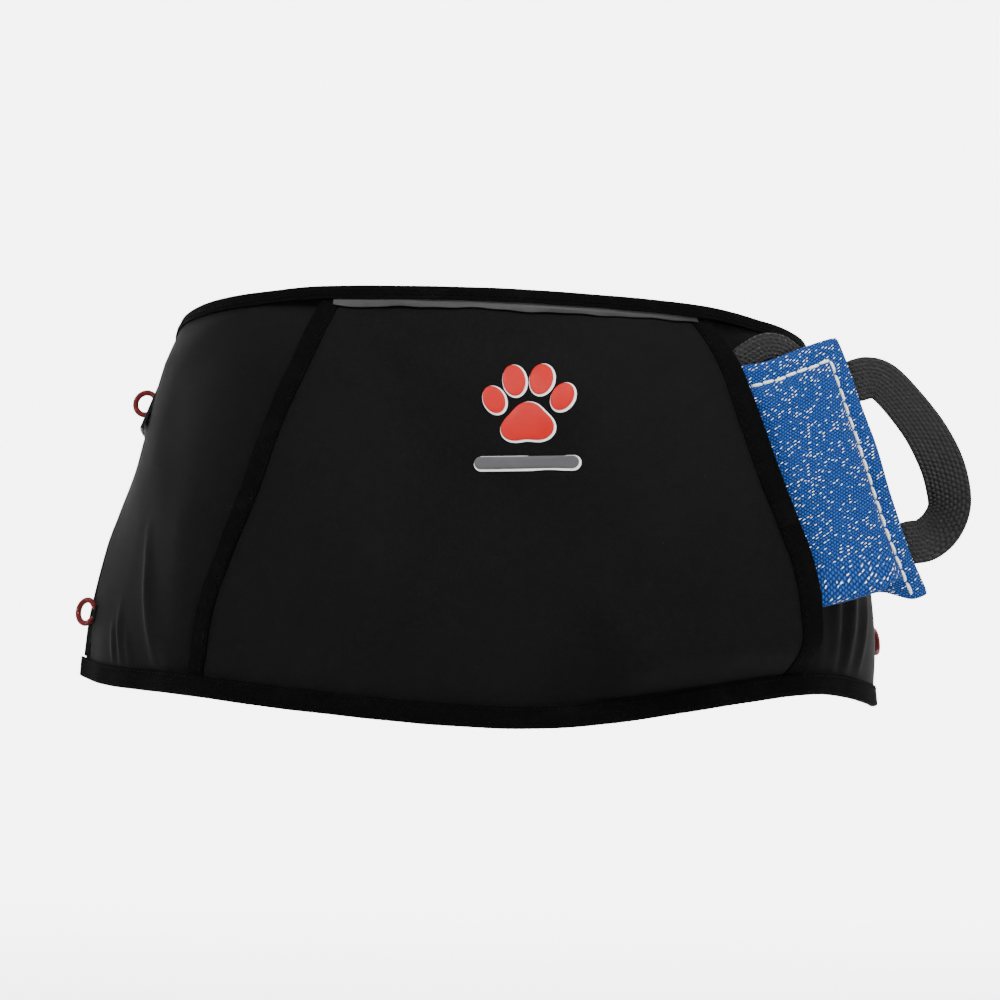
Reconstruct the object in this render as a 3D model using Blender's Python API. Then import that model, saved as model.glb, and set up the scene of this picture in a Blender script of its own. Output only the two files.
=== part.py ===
"""Waist training pouch: a curved front apron with a see-through centre pocket, two rear-opening
side pockets, a webbing belt with a side-release buckle, and a padded bite pad held in the centre
pocket.  Metres, +Z up, the wearer's front faces -Y, the origin is the middle of the waist."""
import math

import bmesh
import bpy
import numpy as np
from mathutils import Matrix, Vector

MM = 0.001

# The body that the apron is wrapped round: half width, half depth, roundness of its plan.
WAIST_HALF_WIDTH, WAIST_HALF_DEPTH = 0.1565, 0.116
HEM_HALF_WIDTH, HEM_HALF_DEPTH = 0.199, 0.149
PLAN_ROUNDNESS = 2.35
FLARE_EARLY = 0.45
REAR_EDGE_ANGLE_TOP, REAR_EDGE_ANGLE_HEM = math.radians(90), math.radians(80)

# Heights of the apron's top edge and hem.
TOP_FRONT, TOP_SIDE, TOP_DROP_POWER = 0.053, 0.035, 2.6
HEM_FRONT, HEM_REAR = -0.136, -0.135
HEM_AT_SEAM = {-1: -0.131, 1: -0.121}
HEM_SEAM_SHARE = 0.58

# Layers, as distances out from the body.
CLOTH = 1.0 * MM
TAPE = 0.6 * MM
LAYER_GAP = 0.4 * MM
SIDE_LIFT = CLOTH + LAYER_GAP
CENTRE_LIFT = SIDE_LIFT + CLOTH + TAPE + 2 * LAYER_GAP
CENTRE_OUT = CENTRE_LIFT + CLOTH
STRIP_GAP = 0.35 * MM
PIPING_LIFT = CENTRE_OUT + LAYER_GAP
BAND_OVER_SIDE = SIDE_LIFT + CLOTH + LAYER_GAP
BAND_OVER_CENTRE = PIPING_LIFT + TAPE + LAYER_GAP
REAR_TAPE_LIFT = CLOTH + LAYER_GAP

# Centre pocket panel, measured along the body from the front centre line.
CENTRE_HALF_TOP, CENTRE_HALF_HEM = 0.088, 0.139
SIDE_UNDERLAP = 0.021
POCKET_SLACK = 5.6 * MM
SIDE_SLACK = 7.4 * MM
SIDE_EDGE_INSET = 9.0 * MM
COVERED_MARGIN, COVERED_SLACK = 4.0 * MM, 0.3 * MM

# Tapes.
WAIST_BAND = 7.0 * MM
HEM_BAND = 8.5 * MM
STRIP_WIDTH = 9.5 * MM
REAR_TAPE_WIDTH = 8.0 * MM
PIPING_SHOWS = 3.8 * MM
PIPING_HIDDEN = 2.5 * MM
TAPE_OVERHANG = 0.4 * MM
BAND_MARGIN = 1.0 * MM
BAND_STEP, BAND_STEP_END = 10 * MM, 20 * MM

# Belt.
BELT_WIDTH, BELT_THICK = 38 * MM, 1.4 * MM
BELT_LIFT = REAR_TAPE_LIFT + TAPE + LAYER_GAP
BELT_SEWN = 24 * MM
BACK_Y = 0.108
BACK_STRAIGHT = 0.118
TAIL_OFFSET = 2.4 * MM
FOLD_GAP = 5.0 * MM

# Side-release buckle and ladder adjuster at the back.
BUCKLE_HEIGHT, BUCKLE_DEPTH = 47 * MM, 11 * MM
SOCKET_LEFT, SOCKET_RIGHT = -0.040, 0.006
SOCKET_WALL = 2.0 * MM
SOCKET_WINDOW_HALF = 2.8 * MM
BUCKLE_EDGE, ADJUSTER_EDGE = 2.0 * MM, 1.5 * MM
TONGUE_SHARE, TONGUE_HALF_DEPTH, TONGUE_HALF_HEIGHT = 0.7, 1.6 * MM, 4 * MM
PLUG_GAP = 0.5 * MM
PLUG_LENGTH = 18 * MM
PRONG_LENGTH, PRONG_HEIGHT, PRONG_DEPTH = 27 * MM, 6 * MM, 5.2 * MM
ADJUSTER_LEFT, ADJUSTER_RIGHT = 0.076, 0.099
ADJUSTER_COVER = 1.6 * MM
BAR = 2.2 * MM
BAR_INSET = 2.0 * MM
WINDOW = 9.5 * MM
SLOT_HALF = BELT_WIDTH / 2 + 1.0 * MM
STRAP_TAIL = 0.132
BUCKLE_Y = BACK_Y + TAIL_OFFSET - FOLD_GAP / 2
FOLD_SEWN = 14 * MM
KEEPER_AT, KEEPER_LENGTH = 0.103, 5 * MM
KEEPER_WALL, KEEPER_SLACK = 1.2 * MM, 0.5 * MM

# Elastic cord loops on the rear edges: height, and how far each is turned outwards.
CORD_RADIUS = 1.25 * MM
LOOP_RADIUS, LOOP_SPAN = 5.3 * MM, 148
LOOP_GAP, LOOP_FOOT = 0.5 * MM, 0.3 * MM
LOOPS = {"upper_left": (-1, 0.003, 82), "lower_left": (-1, -0.104, 38),
         "upper_right": (1, 0.003, 50), "lower_right": (1, -0.102, 22)}

# Bite pad: size, place and lean.  Its long axis points out of the pocket's right opening.
PAD_LENGTH, PAD_HEIGHT = 0.147, 0.125
PAD_EDGE_HALF, PAD_MIDDLE_HALF = 1.4 * MM, 10.5 * MM
PAD_FLANGE, PAD_SHOULDER = 8 * MM, 30 * MM
PAD_CENTRE = Vector((0.1052, -0.1348, -0.0345))
PAD_YAW, PAD_FLARE, PAD_TILT = math.radians(16), math.radians(12), math.radians(13)
EDGE_GRADING = 0.82
COVER_GAP = 0.2 * MM
CORE_INSET, CORE_GAP, CORE_LEAST = 9 * MM, 1.2 * MM, 0.4 * MM
PAD_CLEARANCE = 3.1 * MM
PAD_SURROUND = 9.5 * MM
HANDLE_WIDTH, HANDLE_THICK = 20 * MM, 1.6 * MM
HANDLE_GAP = 2.0 * MM
TOP_HANDLE_WIDTH, HANDLE_CLEAR = 14 * MM, 1.6 * MM

HANDLE_STATIONS, TOP_HANDLE_STATIONS = 31, 25

# Emblem: toes as (across, up, half width, half height, turn in degrees), in millimetres from the
# paw's centre, over a rounded bar.
PAW_CENTRE_S, PAW_CENTRE_V = 0.003, 0.292
TOES = [(-13.6, 2.6, 4.4, 6.2, 24), (-5.4, 11.0, 4.7, 7.0, 8), (5.6, 11.0, 4.7, 7.0, -8),
        (13.8, 2.6, 4.4, 6.2, -24)]
PALM_REACH, PALM_DOWN, PALM_SQUASH = 9.4, 8.0, 0.92
BAR_DOWN, BAR_HALF_LENGTH, BAR_HALF_HEIGHT = 24.5, 21.0, 2.6
EMBLEM_GAP, EMBLEM_THICK = 1.4 * MM, 0.5 * MM

# Grids and tables.
BASE_COLUMNS, BASE_ROWS = 45, 8
CENTRE_COLUMNS, CENTRE_ROWS = 25, 17
SIDE_COLUMNS, SIDE_ROWS = 15, 11
BAND_STATIONS, REAR_STATIONS, PIPING_STATIONS, BAR_STATIONS = 53, 9, 27, 15
OUT_OF_REACH = 1.0
TABLE_STEPS = 2000
TABLE_END = math.radians(104)
FOLDED_CAP = ((0, 1, 2, 3), (0, 3, 4, 7), (4, 5, 6, 7))

# Colours and roughness.
BLACK_CLOTH, BLACK_TAPE = (0.012, 0.012, 0.013), (0.006, 0.006, 0.006)
BLACK_WEB, PLASTIC, ELASTIC = (0.02, 0.02, 0.022), (0.012, 0.012, 0.013), (0.01, 0.01, 0.01)
PRINT_RED, PRINT_GREY, REFLECTIVE_GREY = (0.55, 0.05, 0.035), (0.09, 0.09, 0.095), (0.16, 0.16, 0.17)
CORD_RED, TWILL_BLUE, FELT_BROWN = (0.42, 0.03, 0.03), (0.05, 0.16, 0.42), (0.5, 0.42, 0.28)
CLOTH_ROUGH, TAPE_ROUGH, WEB_ROUGH, PLASTIC_ROUGH, PRINT_ROUGH = 0.85, 0.95, 0.8, 0.4, 0.45
CORD_ROUGH = 0.6


def material(name, colour, roughness, metallic=0.0):
    made = bpy.data.materials.new(name)
    made.use_nodes = True
    shader = made.node_tree.nodes["Principled BSDF"]
    shader.inputs["Base Color"].default_value = (*colour, 1.0)
    shader.inputs["Roughness"].default_value = roughness
    shader.inputs["Metallic"].default_value = metallic
    return made


def finish(name, mesh, colour, roughness, parent=None):
    """Turn the faces outwards, shade the mesh and put it in the scene as one node."""
    work = bmesh.new()
    work.from_mesh(mesh)
    bmesh.ops.recalc_face_normals(work, faces=work.faces)
    work.to_mesh(mesh)
    work.free()
    mesh.shade_smooth()
    mesh.set_sharp_from_angle(angle=math.radians(35))
    mesh.materials.append(material(name, colour, roughness))
    made = bpy.data.objects.new(name, mesh)
    bpy.context.scene.collection.objects.link(made)
    made.parent = parent
    return made


# ---------------------------------------------------------------- the wrapped surface

def superellipse(angle):
    power = 2 / PLAN_ROUNDNESS
    sine, cosine = np.sin(angle), np.cos(angle)
    return np.sign(sine) * np.abs(sine) ** power, np.sign(cosine) * np.abs(cosine) ** power


def flare(v):
    """Share of the widening reached at height share v (0 top edge, 1 hem)."""
    return v * (1 + FLARE_EARLY - FLARE_EARLY * v)


def half_width(v):
    return WAIST_HALF_WIDTH + (HEM_HALF_WIDTH - WAIST_HALF_WIDTH) * flare(v)


def half_depth(v):
    return WAIST_HALF_DEPTH + (HEM_HALF_DEPTH - WAIST_HALF_DEPTH) * flare(v)


TABLE_ANGLE = np.linspace(0, TABLE_END, TABLE_STEPS)
TABLE_SIDE, TABLE_FRONT = superellipse(TABLE_ANGLE)


def arc_table(v):
    x = half_width(v) * TABLE_SIDE
    y = half_depth(v) * TABLE_FRONT
    return np.concatenate([[0], np.cumsum(np.hypot(np.diff(x), np.diff(y)))])


ARC_SHARE = arc_table(0.5) / arc_table(0.5)[-1]
ARC_TOP, ARC_HEM = arc_table(0.0)[-1], arc_table(1.0)[-1]


def arc_length(v):
    return ARC_TOP + (ARC_HEM - ARC_TOP) * flare(v)


def rear_edge(v):
    """Distance along the body from the front centre line to the rear edge."""
    angle = REAR_EDGE_ANGLE_TOP + (REAR_EDGE_ANGLE_HEM - REAR_EDGE_ANGLE_TOP) * v
    return np.interp(angle, TABLE_ANGLE, ARC_SHARE) * arc_length(v)


def ease(t):
    t = np.clip(t, 0, 1)
    return t * t * (3 - 2 * t)


def height(share, v):
    away = np.abs(share)
    top = TOP_FRONT - (TOP_FRONT - TOP_SIDE) * away ** TOP_DROP_POWER
    seam = np.where(share > 0, HEM_AT_SEAM[1], HEM_AT_SEAM[-1])
    rising = HEM_FRONT + (seam - HEM_FRONT) * ease(away / HEM_SEAM_SHARE)
    falling = seam + (HEM_REAR - seam) * ease((away - HEM_SEAM_SHARE) / (1 - HEM_SEAM_SHARE))
    hem = np.where(away < HEM_SEAM_SHARE, rising, falling)
    return top + (hem - top) * v


def skin(s, v):
    """Point of the body's surface at distance s from the centre line and height share v."""
    share = np.abs(s) / arc_length(v)
    x = np.sign(s) * half_width(v) * np.interp(share, ARC_SHARE, TABLE_SIDE)
    y = -half_depth(v) * np.interp(share, ARC_SHARE, TABLE_FRONT)
    return np.stack([x, y, height(s / rear_edge(v), v)], -1)


def skin_normal(s, v):
    step = 1.5 * MM
    along = skin(s + step, v) - skin(s - step, v)
    down = skin(s, v + 0.01) - skin(s, v - 0.01)
    normal = np.cross(down, along)
    return normal / np.linalg.norm(normal, axis=-1, keepdims=True)


def wrap(s, v, lift):
    s, v, lift = np.broadcast_arrays(*(np.asarray(item, float) for item in (s, v, lift)))
    return skin(s, v) + skin_normal(s, v) * lift[..., None]


def apron_height(s):
    return float(height(s / rear_edge(0.5), 0.0) - height(s / rear_edge(0.5), 1.0))


def centre_half(v):
    return CENTRE_HALF_TOP + (CENTRE_HALF_HEM - CENTRE_HALF_TOP) * v


# ---------------------------------------------------------------- mesh builders

def sheet_solid(name, inner, outer, colour, roughness, parent=None):
    """Closed solid between two grids of points of the same shape."""
    rows, columns = inner.shape[:2]
    points = [tuple(p) for grid in (inner, outer) for row in grid for p in row]

    def index(layer, i, j):
        return layer * rows * columns + i * columns + j

    faces = []
    for layer in (0, 1):
        for i in range(rows - 1):
            for j in range(columns - 1):
                faces.append((index(layer, i, j), index(layer, i + 1, j),
                              index(layer, i + 1, j + 1), index(layer, i, j + 1)))
    rim = [(i, 0) for i in range(rows)] + [(rows - 1, j) for j in range(1, columns)]
    rim += [(i, columns - 1) for i in range(rows - 2, -1, -1)]
    rim += [(0, j) for j in range(columns - 2, 0, -1)]
    for (i, j), (k, m) in zip(rim, rim[1:] + rim[:1]):
        faces.append((index(0, i, j), index(0, k, m), index(1, k, m), index(1, i, j)))
    mesh = bpy.data.meshes.new(name)
    mesh.from_pydata(points, [], faces)
    return finish(name, mesh, colour, roughness, parent)


def swept_solid(name, sections, colour, roughness, parent=None, closed=False):
    """Closed solid through a row of cross-section loops with the same number of points.
    A loop of eight points is a folded tape's U, whose ends are closed with three quads."""
    count, around = len(sections), len(sections[0])
    cap = FOLDED_CAP if around == 8 else (tuple(range(around)),)
    points = [tuple(p) for section in sections for p in section]
    faces = []
    for i in range(count if closed else count - 1):
        k = (i + 1) % count
        for j in range(around):
            m = (j + 1) % around
            faces.append((i * around + j, k * around + j, k * around + m, i * around + m))
    if not closed:
        faces += cap
        faces += [tuple((count - 1) * around + j for j in quad) for quad in cap]
    mesh = bpy.data.meshes.new(name)
    mesh.from_pydata(points, [], faces)
    return finish(name, mesh, colour, roughness, parent)


def ribbon(name, path, widths, width, thick, colour, roughness, parent=None):
    """Flat strap along a path: widths holds the direction across the strap at each point."""
    path = np.asarray(path, float)
    tangents = np.gradient(path, axis=0)
    sections = []
    for point, tangent, across in zip(path, tangents, np.asarray(widths, float)):
        tangent = tangent / np.linalg.norm(tangent)
        across = across - tangent * np.dot(across, tangent)
        across = across / np.linalg.norm(across) * width / 2
        through = np.cross(tangent, across)
        through = through / np.linalg.norm(through) * thick / 2
        sections.append([point + across + through, point - across + through,
                         point - across - through, point + across - through])
    return swept_solid(name, sections, colour, roughness, parent)


def smooth_path(points, count):
    """Even points along a Catmull-Rom curve; columns past the third are carried along."""
    points = np.asarray(points, float)
    ends = np.vstack([2 * points[0] - points[1], points, 2 * points[-1] - points[-2]])
    dense = []
    for i in range(len(points) - 1):
        a, b, c, d = ends[i:i + 4]
        for t in np.linspace(0, 1, 16, endpoint=False):
            dense.append(0.5 * (2 * b + (c - a) * t + (2 * a - 5 * b + 4 * c - d) * t * t
                                + (3 * b - a - 3 * c + d) * t ** 3))
    dense = np.array(dense + [points[-1]])
    steps = np.linalg.norm(np.diff(dense[:, :3], axis=0), axis=1)
    gone = np.concatenate([[0], np.cumsum(steps)])
    wanted = np.linspace(0, gone[-1], count)
    return np.stack([np.interp(wanted, gone, dense[:, k]) for k in range(dense.shape[1])], -1)


# ---------------------------------------------------------------- the bite pad's space

def pad_axes():
    """Long axis, upright axis and outward axis of the pad."""
    level = Vector((math.cos(PAD_YAW), math.sin(PAD_YAW), 0))
    out = Vector((math.sin(PAD_YAW), -math.cos(PAD_YAW), 0))
    up = Vector((0, 0, 1)) * math.cos(PAD_FLARE) - out * math.sin(PAD_FLARE)
    facing = out * math.cos(PAD_FLARE) + Vector((0, 0, 1)) * math.sin(PAD_FLARE)
    along = level * math.cos(PAD_TILT) + up * math.sin(PAD_TILT)
    upright = up * math.cos(PAD_TILT) - level * math.sin(PAD_TILT)
    return along, upright, facing


PAD_ALONG, PAD_UP, PAD_OUT = pad_axes()


def fullness(distance):
    """How plump the pad is at a distance in from its edge, 0 on the flange to 1."""
    return np.sin(np.clip((distance - PAD_FLANGE) / PAD_SHOULDER, 0, 1) * math.pi / 2)


def pad_half(u, w, swept=False):
    """Half thickness at pad coordinates; swept covers the path out of the pocket too."""
    ends = u + PAD_LENGTH / 2 if swept else PAD_LENGTH / 2 - np.abs(u)
    plump = fullness(ends) * fullness(PAD_HEIGHT / 2 - np.abs(w))
    return PAD_EDGE_HALF + (PAD_MIDDLE_HALF - PAD_EDGE_HALF) * plump


def lift_to_pad(points, normals, front):
    """Lift along each normal that just clears the pad's front, or its back; NaN off the pad."""
    facing, centre = np.array(PAD_OUT), np.array(PAD_CENTRE)
    lean = normals @ facing
    middle = ((centre - points) @ facing) / lean
    local = points + normals * middle[..., None] - centre
    u, w = local @ np.array(PAD_ALONG), local @ np.array(PAD_UP)
    half = pad_half(u, w, swept=True) + PAD_CLEARANCE
    inside = (u > -PAD_LENGTH / 2 - PAD_SURROUND) & (np.abs(w) < PAD_HEIGHT / 2 + PAD_SURROUND)
    return np.where(inside, middle + (half if front else -half) / lean, np.nan)


def stretch(floor, ceiling, pinned, rounds=500):
    """Settle a cloth's lifts between a floor and a ceiling, as a taut sheet would."""
    lifts = floor.copy()
    for _ in range(rounds):
        edged = np.pad(lifts, 1, mode="edge")
        around = (edged[2:, 1:-1] + edged[:-2, 1:-1] + edged[1:-1, 2:] + edged[1:-1, :-2]) / 4
        lifts = np.where(pinned, floor, np.clip(around, floor, ceiling))
    return lifts


def cloth_rows(inner_rows):
    """Height shares of a panel's grid rows: two rows lie under each band."""
    top = (WAIST_BAND + BAND_MARGIN) / apron_height(0.06)
    hem = 1 - (HEM_BAND + BAND_MARGIN) / apron_height(0.06)
    return np.concatenate([[0.0], np.linspace(top, hem, inner_rows), [1.0]])


# ---------------------------------------------------------------- fabric pieces

def base_panel():
    share, v = np.meshgrid(np.linspace(-1, 1, BASE_COLUMNS), np.linspace(0, 1, BASE_ROWS),
                           indexing="ij")
    s = share * rear_edge(v)
    sheet_solid("base_panel", wrap(s, v, 0), wrap(s, v, CLOTH), BLACK_CLOTH, CLOTH_ROUGH)


def centre_grid():
    """Distances, height shares and inner lifts of the centre pocket panel's grid."""
    rows = cloth_rows(CENTRE_ROWS)
    strip = STRIP_WIDTH / centre_half(0.5)
    shares = np.concatenate([[-1], np.linspace(-1 + strip, 1 - strip, CENTRE_COLUMNS), [1]])
    share, v = np.meshgrid(shares, rows, indexing="ij")
    s = share * centre_half(v)
    bulge = POCKET_SLACK * np.sin(math.pi * v) * ease((0.5 - share) / 0.9)
    floor = CENTRE_LIFT + bulge
    over_pad = lift_to_pad(skin(s, v), skin_normal(s, v), front=True)
    floor = np.fmax(floor, over_pad)
    pinned = np.zeros(floor.shape, bool)
    pinned[:, [0, 1, -2, -1]] = True
    floor[pinned] = CENTRE_LIFT
    lifts = stretch(floor, np.full(floor.shape, OUT_OF_REACH), pinned)
    for rim, inner in ((0, 1), (-1, -2)):
        lifts[rim] = lifts[inner] = np.maximum(lifts[rim], lifts[inner])
    return s, v, lifts


def opening_binding(name, grid, edge):
    """Folded tape over a slanted edge of the centre pocket; edge is -1 left, 1 right."""
    s, v, lifts = grid
    rim, inner = (0, 1) if edge < 0 else (-1, -2)
    sections = []
    for j in range(v.shape[1]):
        level = v[0, j]
        out_s = s[rim, j] + edge * (TAPE_OVERHANG + TAPE)
        lip_s = s[rim, j] + edge * TAPE_OVERHANG
        in_s, rim_lift, in_lift = s[inner, j], lifts[rim, j], lifts[inner, j]
        corners = [(out_s, rim_lift - STRIP_GAP - TAPE), (in_s, in_lift - STRIP_GAP - TAPE),
                   (in_s, in_lift - STRIP_GAP), (lip_s, rim_lift - STRIP_GAP),
                   (lip_s, rim_lift + CLOTH + STRIP_GAP), (in_s, in_lift + CLOTH + STRIP_GAP),
                   (in_s, in_lift + CLOTH + STRIP_GAP + TAPE),
                   (out_s, rim_lift + CLOTH + STRIP_GAP + TAPE)]
        sections.append([wrap(a, level, b) for a, b in corners])
    swept_solid(name, sections, BLACK_TAPE, TAPE_ROUGH)


def side_grid(side):
    """Rear-opening side pocket's grid, sewn under the centre panel; side is -1 left, 1 right."""
    rows = cloth_rows(SIDE_ROWS)
    share, v = np.meshgrid(np.linspace(0, 1, SIDE_COLUMNS), rows, indexing="ij")
    front = centre_half(v) - SIDE_UNDERLAP
    rear = rear_edge(v) - SIDE_EDGE_INSET
    s = side * (front + (rear - front) * share)
    points, normals = skin(s, v), skin_normal(s, v)
    bulge = SIDE_SLACK * np.sin(math.pi * v) ** 0.7 * ease(share / 0.45)
    floor = SIDE_LIFT + bulge
    covered = np.abs(s) < centre_half(v) + COVERED_MARGIN
    ceiling = np.where(covered, SIDE_LIFT + COVERED_SLACK, OUT_OF_REACH)
    if side > 0:
        behind_pad = lift_to_pad(points, normals, front=False) - CLOTH
        ceiling = np.fmin(ceiling, behind_pad)
    pinned = np.zeros(floor.shape, bool)
    pinned[:, [0, 1, -2, -1]] = True
    pinned[0, :] = True
    floor[pinned] = SIDE_LIFT
    floor = np.minimum(floor, np.maximum(ceiling, SIDE_LIFT))
    return s, v, stretch(floor, np.maximum(ceiling, SIDE_LIFT), pinned, rounds=60)


def cloth_panel(name, grid):
    s, v, lifts = grid
    sheet_solid(name, wrap(s, v, lifts), wrap(s, v, lifts + CLOTH), BLACK_CLOTH, CLOTH_ROUGH)


def edge_band(name, top, width):
    """Folded tape round the whole top edge or hem."""
    sections = []
    edge_v, sign = (0.0, 1) if top else (1.0, -1)
    for share in np.linspace(-1, 1, BAND_STATIONS):
        s = share * float(rear_edge(edge_v))
        tall = apron_height(s)
        past_centre = abs(s) - float(centre_half(edge_v))
        over = float(ease((BAND_STEP_END - past_centre) / BAND_STEP))
        outer = BAND_OVER_SIDE + (BAND_OVER_CENTRE - BAND_OVER_SIDE) * over
        tip = edge_v - sign * (TAPE_OVERHANG + TAPE) / tall
        lip = edge_v - sign * TAPE_OVERHANG / tall
        leg = edge_v + sign * width / tall
        corners = [(tip, -TAPE_OVERHANG - TAPE), (leg, -TAPE_OVERHANG - TAPE),
                   (leg, -TAPE_OVERHANG), (lip, -TAPE_OVERHANG), (lip, outer), (leg, outer),
                   (leg, outer + TAPE), (tip, outer + TAPE)]
        sections.append([wrap(share * rear_edge(v), v, lift) for v, lift in corners])
    swept_solid(name, sections, BLACK_TAPE, TAPE_ROUGH)


def rear_binding(name, side):
    """Folded tape over the base panel's rear edge, between the waist and hem bands."""
    tall = apron_height(0.2)
    start = (WAIST_BAND + LAYER_GAP) / tall
    stop = 1 - (HEM_BAND + LAYER_GAP) / tall
    sections = []
    for v in np.linspace(start, stop, REAR_STATIONS):
        edge = float(rear_edge(v))
        corners = [(edge + TAPE_OVERHANG + TAPE, -TAPE_OVERHANG - TAPE),
                   (edge - REAR_TAPE_WIDTH, -TAPE_OVERHANG - TAPE),
                   (edge - REAR_TAPE_WIDTH, -TAPE_OVERHANG),
                   (edge + TAPE_OVERHANG, -TAPE_OVERHANG),
                   (edge + TAPE_OVERHANG, REAR_TAPE_LIFT),
                   (edge - REAR_TAPE_WIDTH, REAR_TAPE_LIFT),
                   (edge - REAR_TAPE_WIDTH, REAR_TAPE_LIFT + TAPE),
                   (edge + TAPE_OVERHANG + TAPE, REAR_TAPE_LIFT + TAPE)]
        sections.append([wrap(side * a, v, b) for a, b in corners])
    swept_solid(name, sections, BLACK_TAPE, TAPE_ROUGH)


# ---------------------------------------------------------------- emblem

def panel_sampler(grid):
    """Outer surface of the centre panel as a function of distance and height share."""
    s, v, lifts = grid
    rows = v[0]

    def sample(where_s, where_v, lift):
        share = where_s / centre_half(where_v)
        shares = s[:, 0] / centre_half(rows[0])
        columns = np.array([np.interp(share, shares, lifts[:, j]) for j in range(len(rows))])
        return wrap(where_s, where_v, np.interp(where_v, rows, columns) + CLOTH + lift)
    return sample


def reflective_piping(sample):
    """Flat strip that shows below the waist band, between the two opening bindings."""
    tall = apron_height(0.0)
    reach = CENTRE_HALF_TOP - STRIP_WIDTH - 1.5 * MM
    high = (WAIST_BAND - PIPING_HIDDEN) / tall
    bend = (WAIST_BAND + BAND_MARGIN) / tall
    low = (WAIST_BAND + PIPING_SHOWS) / tall
    sections = []
    for s in np.linspace(-reach, reach, PIPING_STATIONS):
        corners = [(high, 0), (bend, 0), (low, 0), (low, TAPE), (bend, TAPE), (high, TAPE)]
        sections.append([sample(s, v, LAYER_GAP + lift) for v, lift in corners])
    swept_solid("reflective_piping", sections, REFLECTIVE_GREY, PLASTIC_ROUGH)


def emblem(name, outline, sample, colour):
    """Low crowned patch with the given outline of (across, up) millimetres on the panel."""
    centre = np.mean(outline, axis=0)
    tall = apron_height(0.0) / MM
    count = len(outline)
    points, faces = [], []
    for layer, lifts in enumerate(((0.0, 0.0, 0.0), (0.9, 1.1, 1.2))):
        for ring, scale in enumerate((1.0, 0.55, 0.0)):
            loop = outline if scale else [centre]
            lift = EMBLEM_GAP + EMBLEM_THICK * lifts[ring]
            for point in loop:
                across, up = centre + (np.asarray(point) - centre) * scale
                points.append(tuple(sample(PAW_CENTRE_S + across * MM,
                                           PAW_CENTRE_V - up / tall, lift)))
        start = layer * (2 * count + 1)
        for j in range(count):
            k = (j + 1) % count
            faces.append((start + j, start + k, start + count + k, start + count + j))
            faces.append((start + count + j, start + count + k, start + 2 * count))
    for j in range(count):
        k = (j + 1) % count
        faces.append((j, k, 2 * count + 1 + k, 2 * count + 1 + j))
    mesh = bpy.data.meshes.new(name)
    mesh.from_pydata(points, [], faces)
    finish(name, mesh, colour, PRINT_ROUGH)


def oval(x, y, half_x, half_y, turn, count=16):
    turn = math.radians(turn)
    points = []
    for i in range(count):
        a = 2 * math.pi * i / count
        px, py = half_x * math.cos(a), half_y * math.sin(a)
        points.append((x + px * math.cos(turn) - py * math.sin(turn),
                       y + px * math.sin(turn) + py * math.cos(turn)))
    return points


def palm_outline(count=24):
    """Rounded triangle with a lobed foot: the palm of the paw."""
    points = []
    for i in range(count):
        a = 2 * math.pi * i / count
        reach = PALM_REACH + 1.3 * math.cos(3 * (a + math.pi / 6)) + 0.8 * math.cos(2 * a)
        points.append((reach * math.cos(a), PALM_SQUASH * reach * math.sin(a) - PALM_DOWN))
    return points


def badge_bar(sample):
    """Rounded bar under the paw."""
    tall = apron_height(0.0) / MM
    sections = []
    for turn in np.linspace(-1, 1, BAR_STATIONS):
        along = BAR_HALF_LENGTH * math.sin(turn * math.pi / 2)
        past = max(0.0, abs(along) - BAR_HALF_LENGTH + BAR_HALF_HEIGHT) / BAR_HALF_HEIGHT
        half = BAR_HALF_HEIGHT * max(0.35, math.sqrt(max(0.0, 1 - past * past)))
        corners = [(-half, 0), (half, 0), (half, EMBLEM_THICK), (-half, EMBLEM_THICK)]
        sections.append([sample(PAW_CENTRE_S + along * MM, PAW_CENTRE_V + (BAR_DOWN - up) / tall,
                                EMBLEM_GAP + lift) for up, lift in corners])
    swept_solid("badge_bar", sections, PRINT_GREY, PRINT_ROUGH)


def emblems(sample):
    """A plain paw print over a rounded bar, as low printed rubber patches."""
    for number, toe in enumerate(TOES, 1):
        emblem(f"paw_toe_{number}", oval(*toe), sample, PRINT_RED)
    emblem("paw_palm", palm_outline(), sample, PRINT_RED)
    badge_bar(sample)


# ---------------------------------------------------------------- cord loops

def cord_loops(grids):
    """Elastic cord loops: an open ring whose two feet meet a side panel's rear edge."""
    for name, (side, level, turned) in LOOPS.items():
        s, v, lifts = grids[side]
        heights = wrap(s[-1], v[0], lifts[-1] + CLOTH / 2)[:, 2]
        row = float(np.interp(-level, -heights, v[0]))
        lift = float(np.interp(row, v[0], lifts[-1])) + CLOTH / 2
        edge = side * (float(rear_edge(row)) - SIDE_EDGE_INSET + LOOP_GAP)
        foot = wrap(edge, row, lift)
        back = wrap(edge + side * MM, row, lift) - foot
        back = back / np.linalg.norm(back)
        out = np.array(skin_normal(edge, row))
        out = out - back * np.dot(out, back)
        out = out / np.linalg.norm(out)
        reach = out * math.sin(math.radians(turned)) + back * math.cos(math.radians(turned))
        upward = np.cross(back, out) * side
        upward = upward * np.sign(upward[2])
        start = foot + back * CORD_RADIUS + reach * LOOP_FOOT
        route = []
        for angle in np.radians(np.linspace(-LOOP_SPAN, LOOP_SPAN, 13)):
            ahead = LOOP_RADIUS * (math.cos(angle) - math.cos(math.radians(LOOP_SPAN)))
            route.append(start + reach * ahead + upward * 1.1 * LOOP_RADIUS * math.sin(angle))
        across = np.cross(reach, upward)
        route = np.array(route)
        tangents = np.gradient(route, axis=0)
        sections = []
        for point, tangent in zip(route, tangents):
            tangent = tangent / np.linalg.norm(tangent)
            inward = np.cross(tangent, across)
            sections.append([point + CORD_RADIUS * (across * math.cos(a) + inward * math.sin(a))
                             for a in np.linspace(0, 2 * math.pi, 6, endpoint=False)])
        swept_solid("cord_loop_" + name, sections, CORD_RED, CORD_ROUGH)


# ---------------------------------------------------------------- belt and buckle

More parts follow.
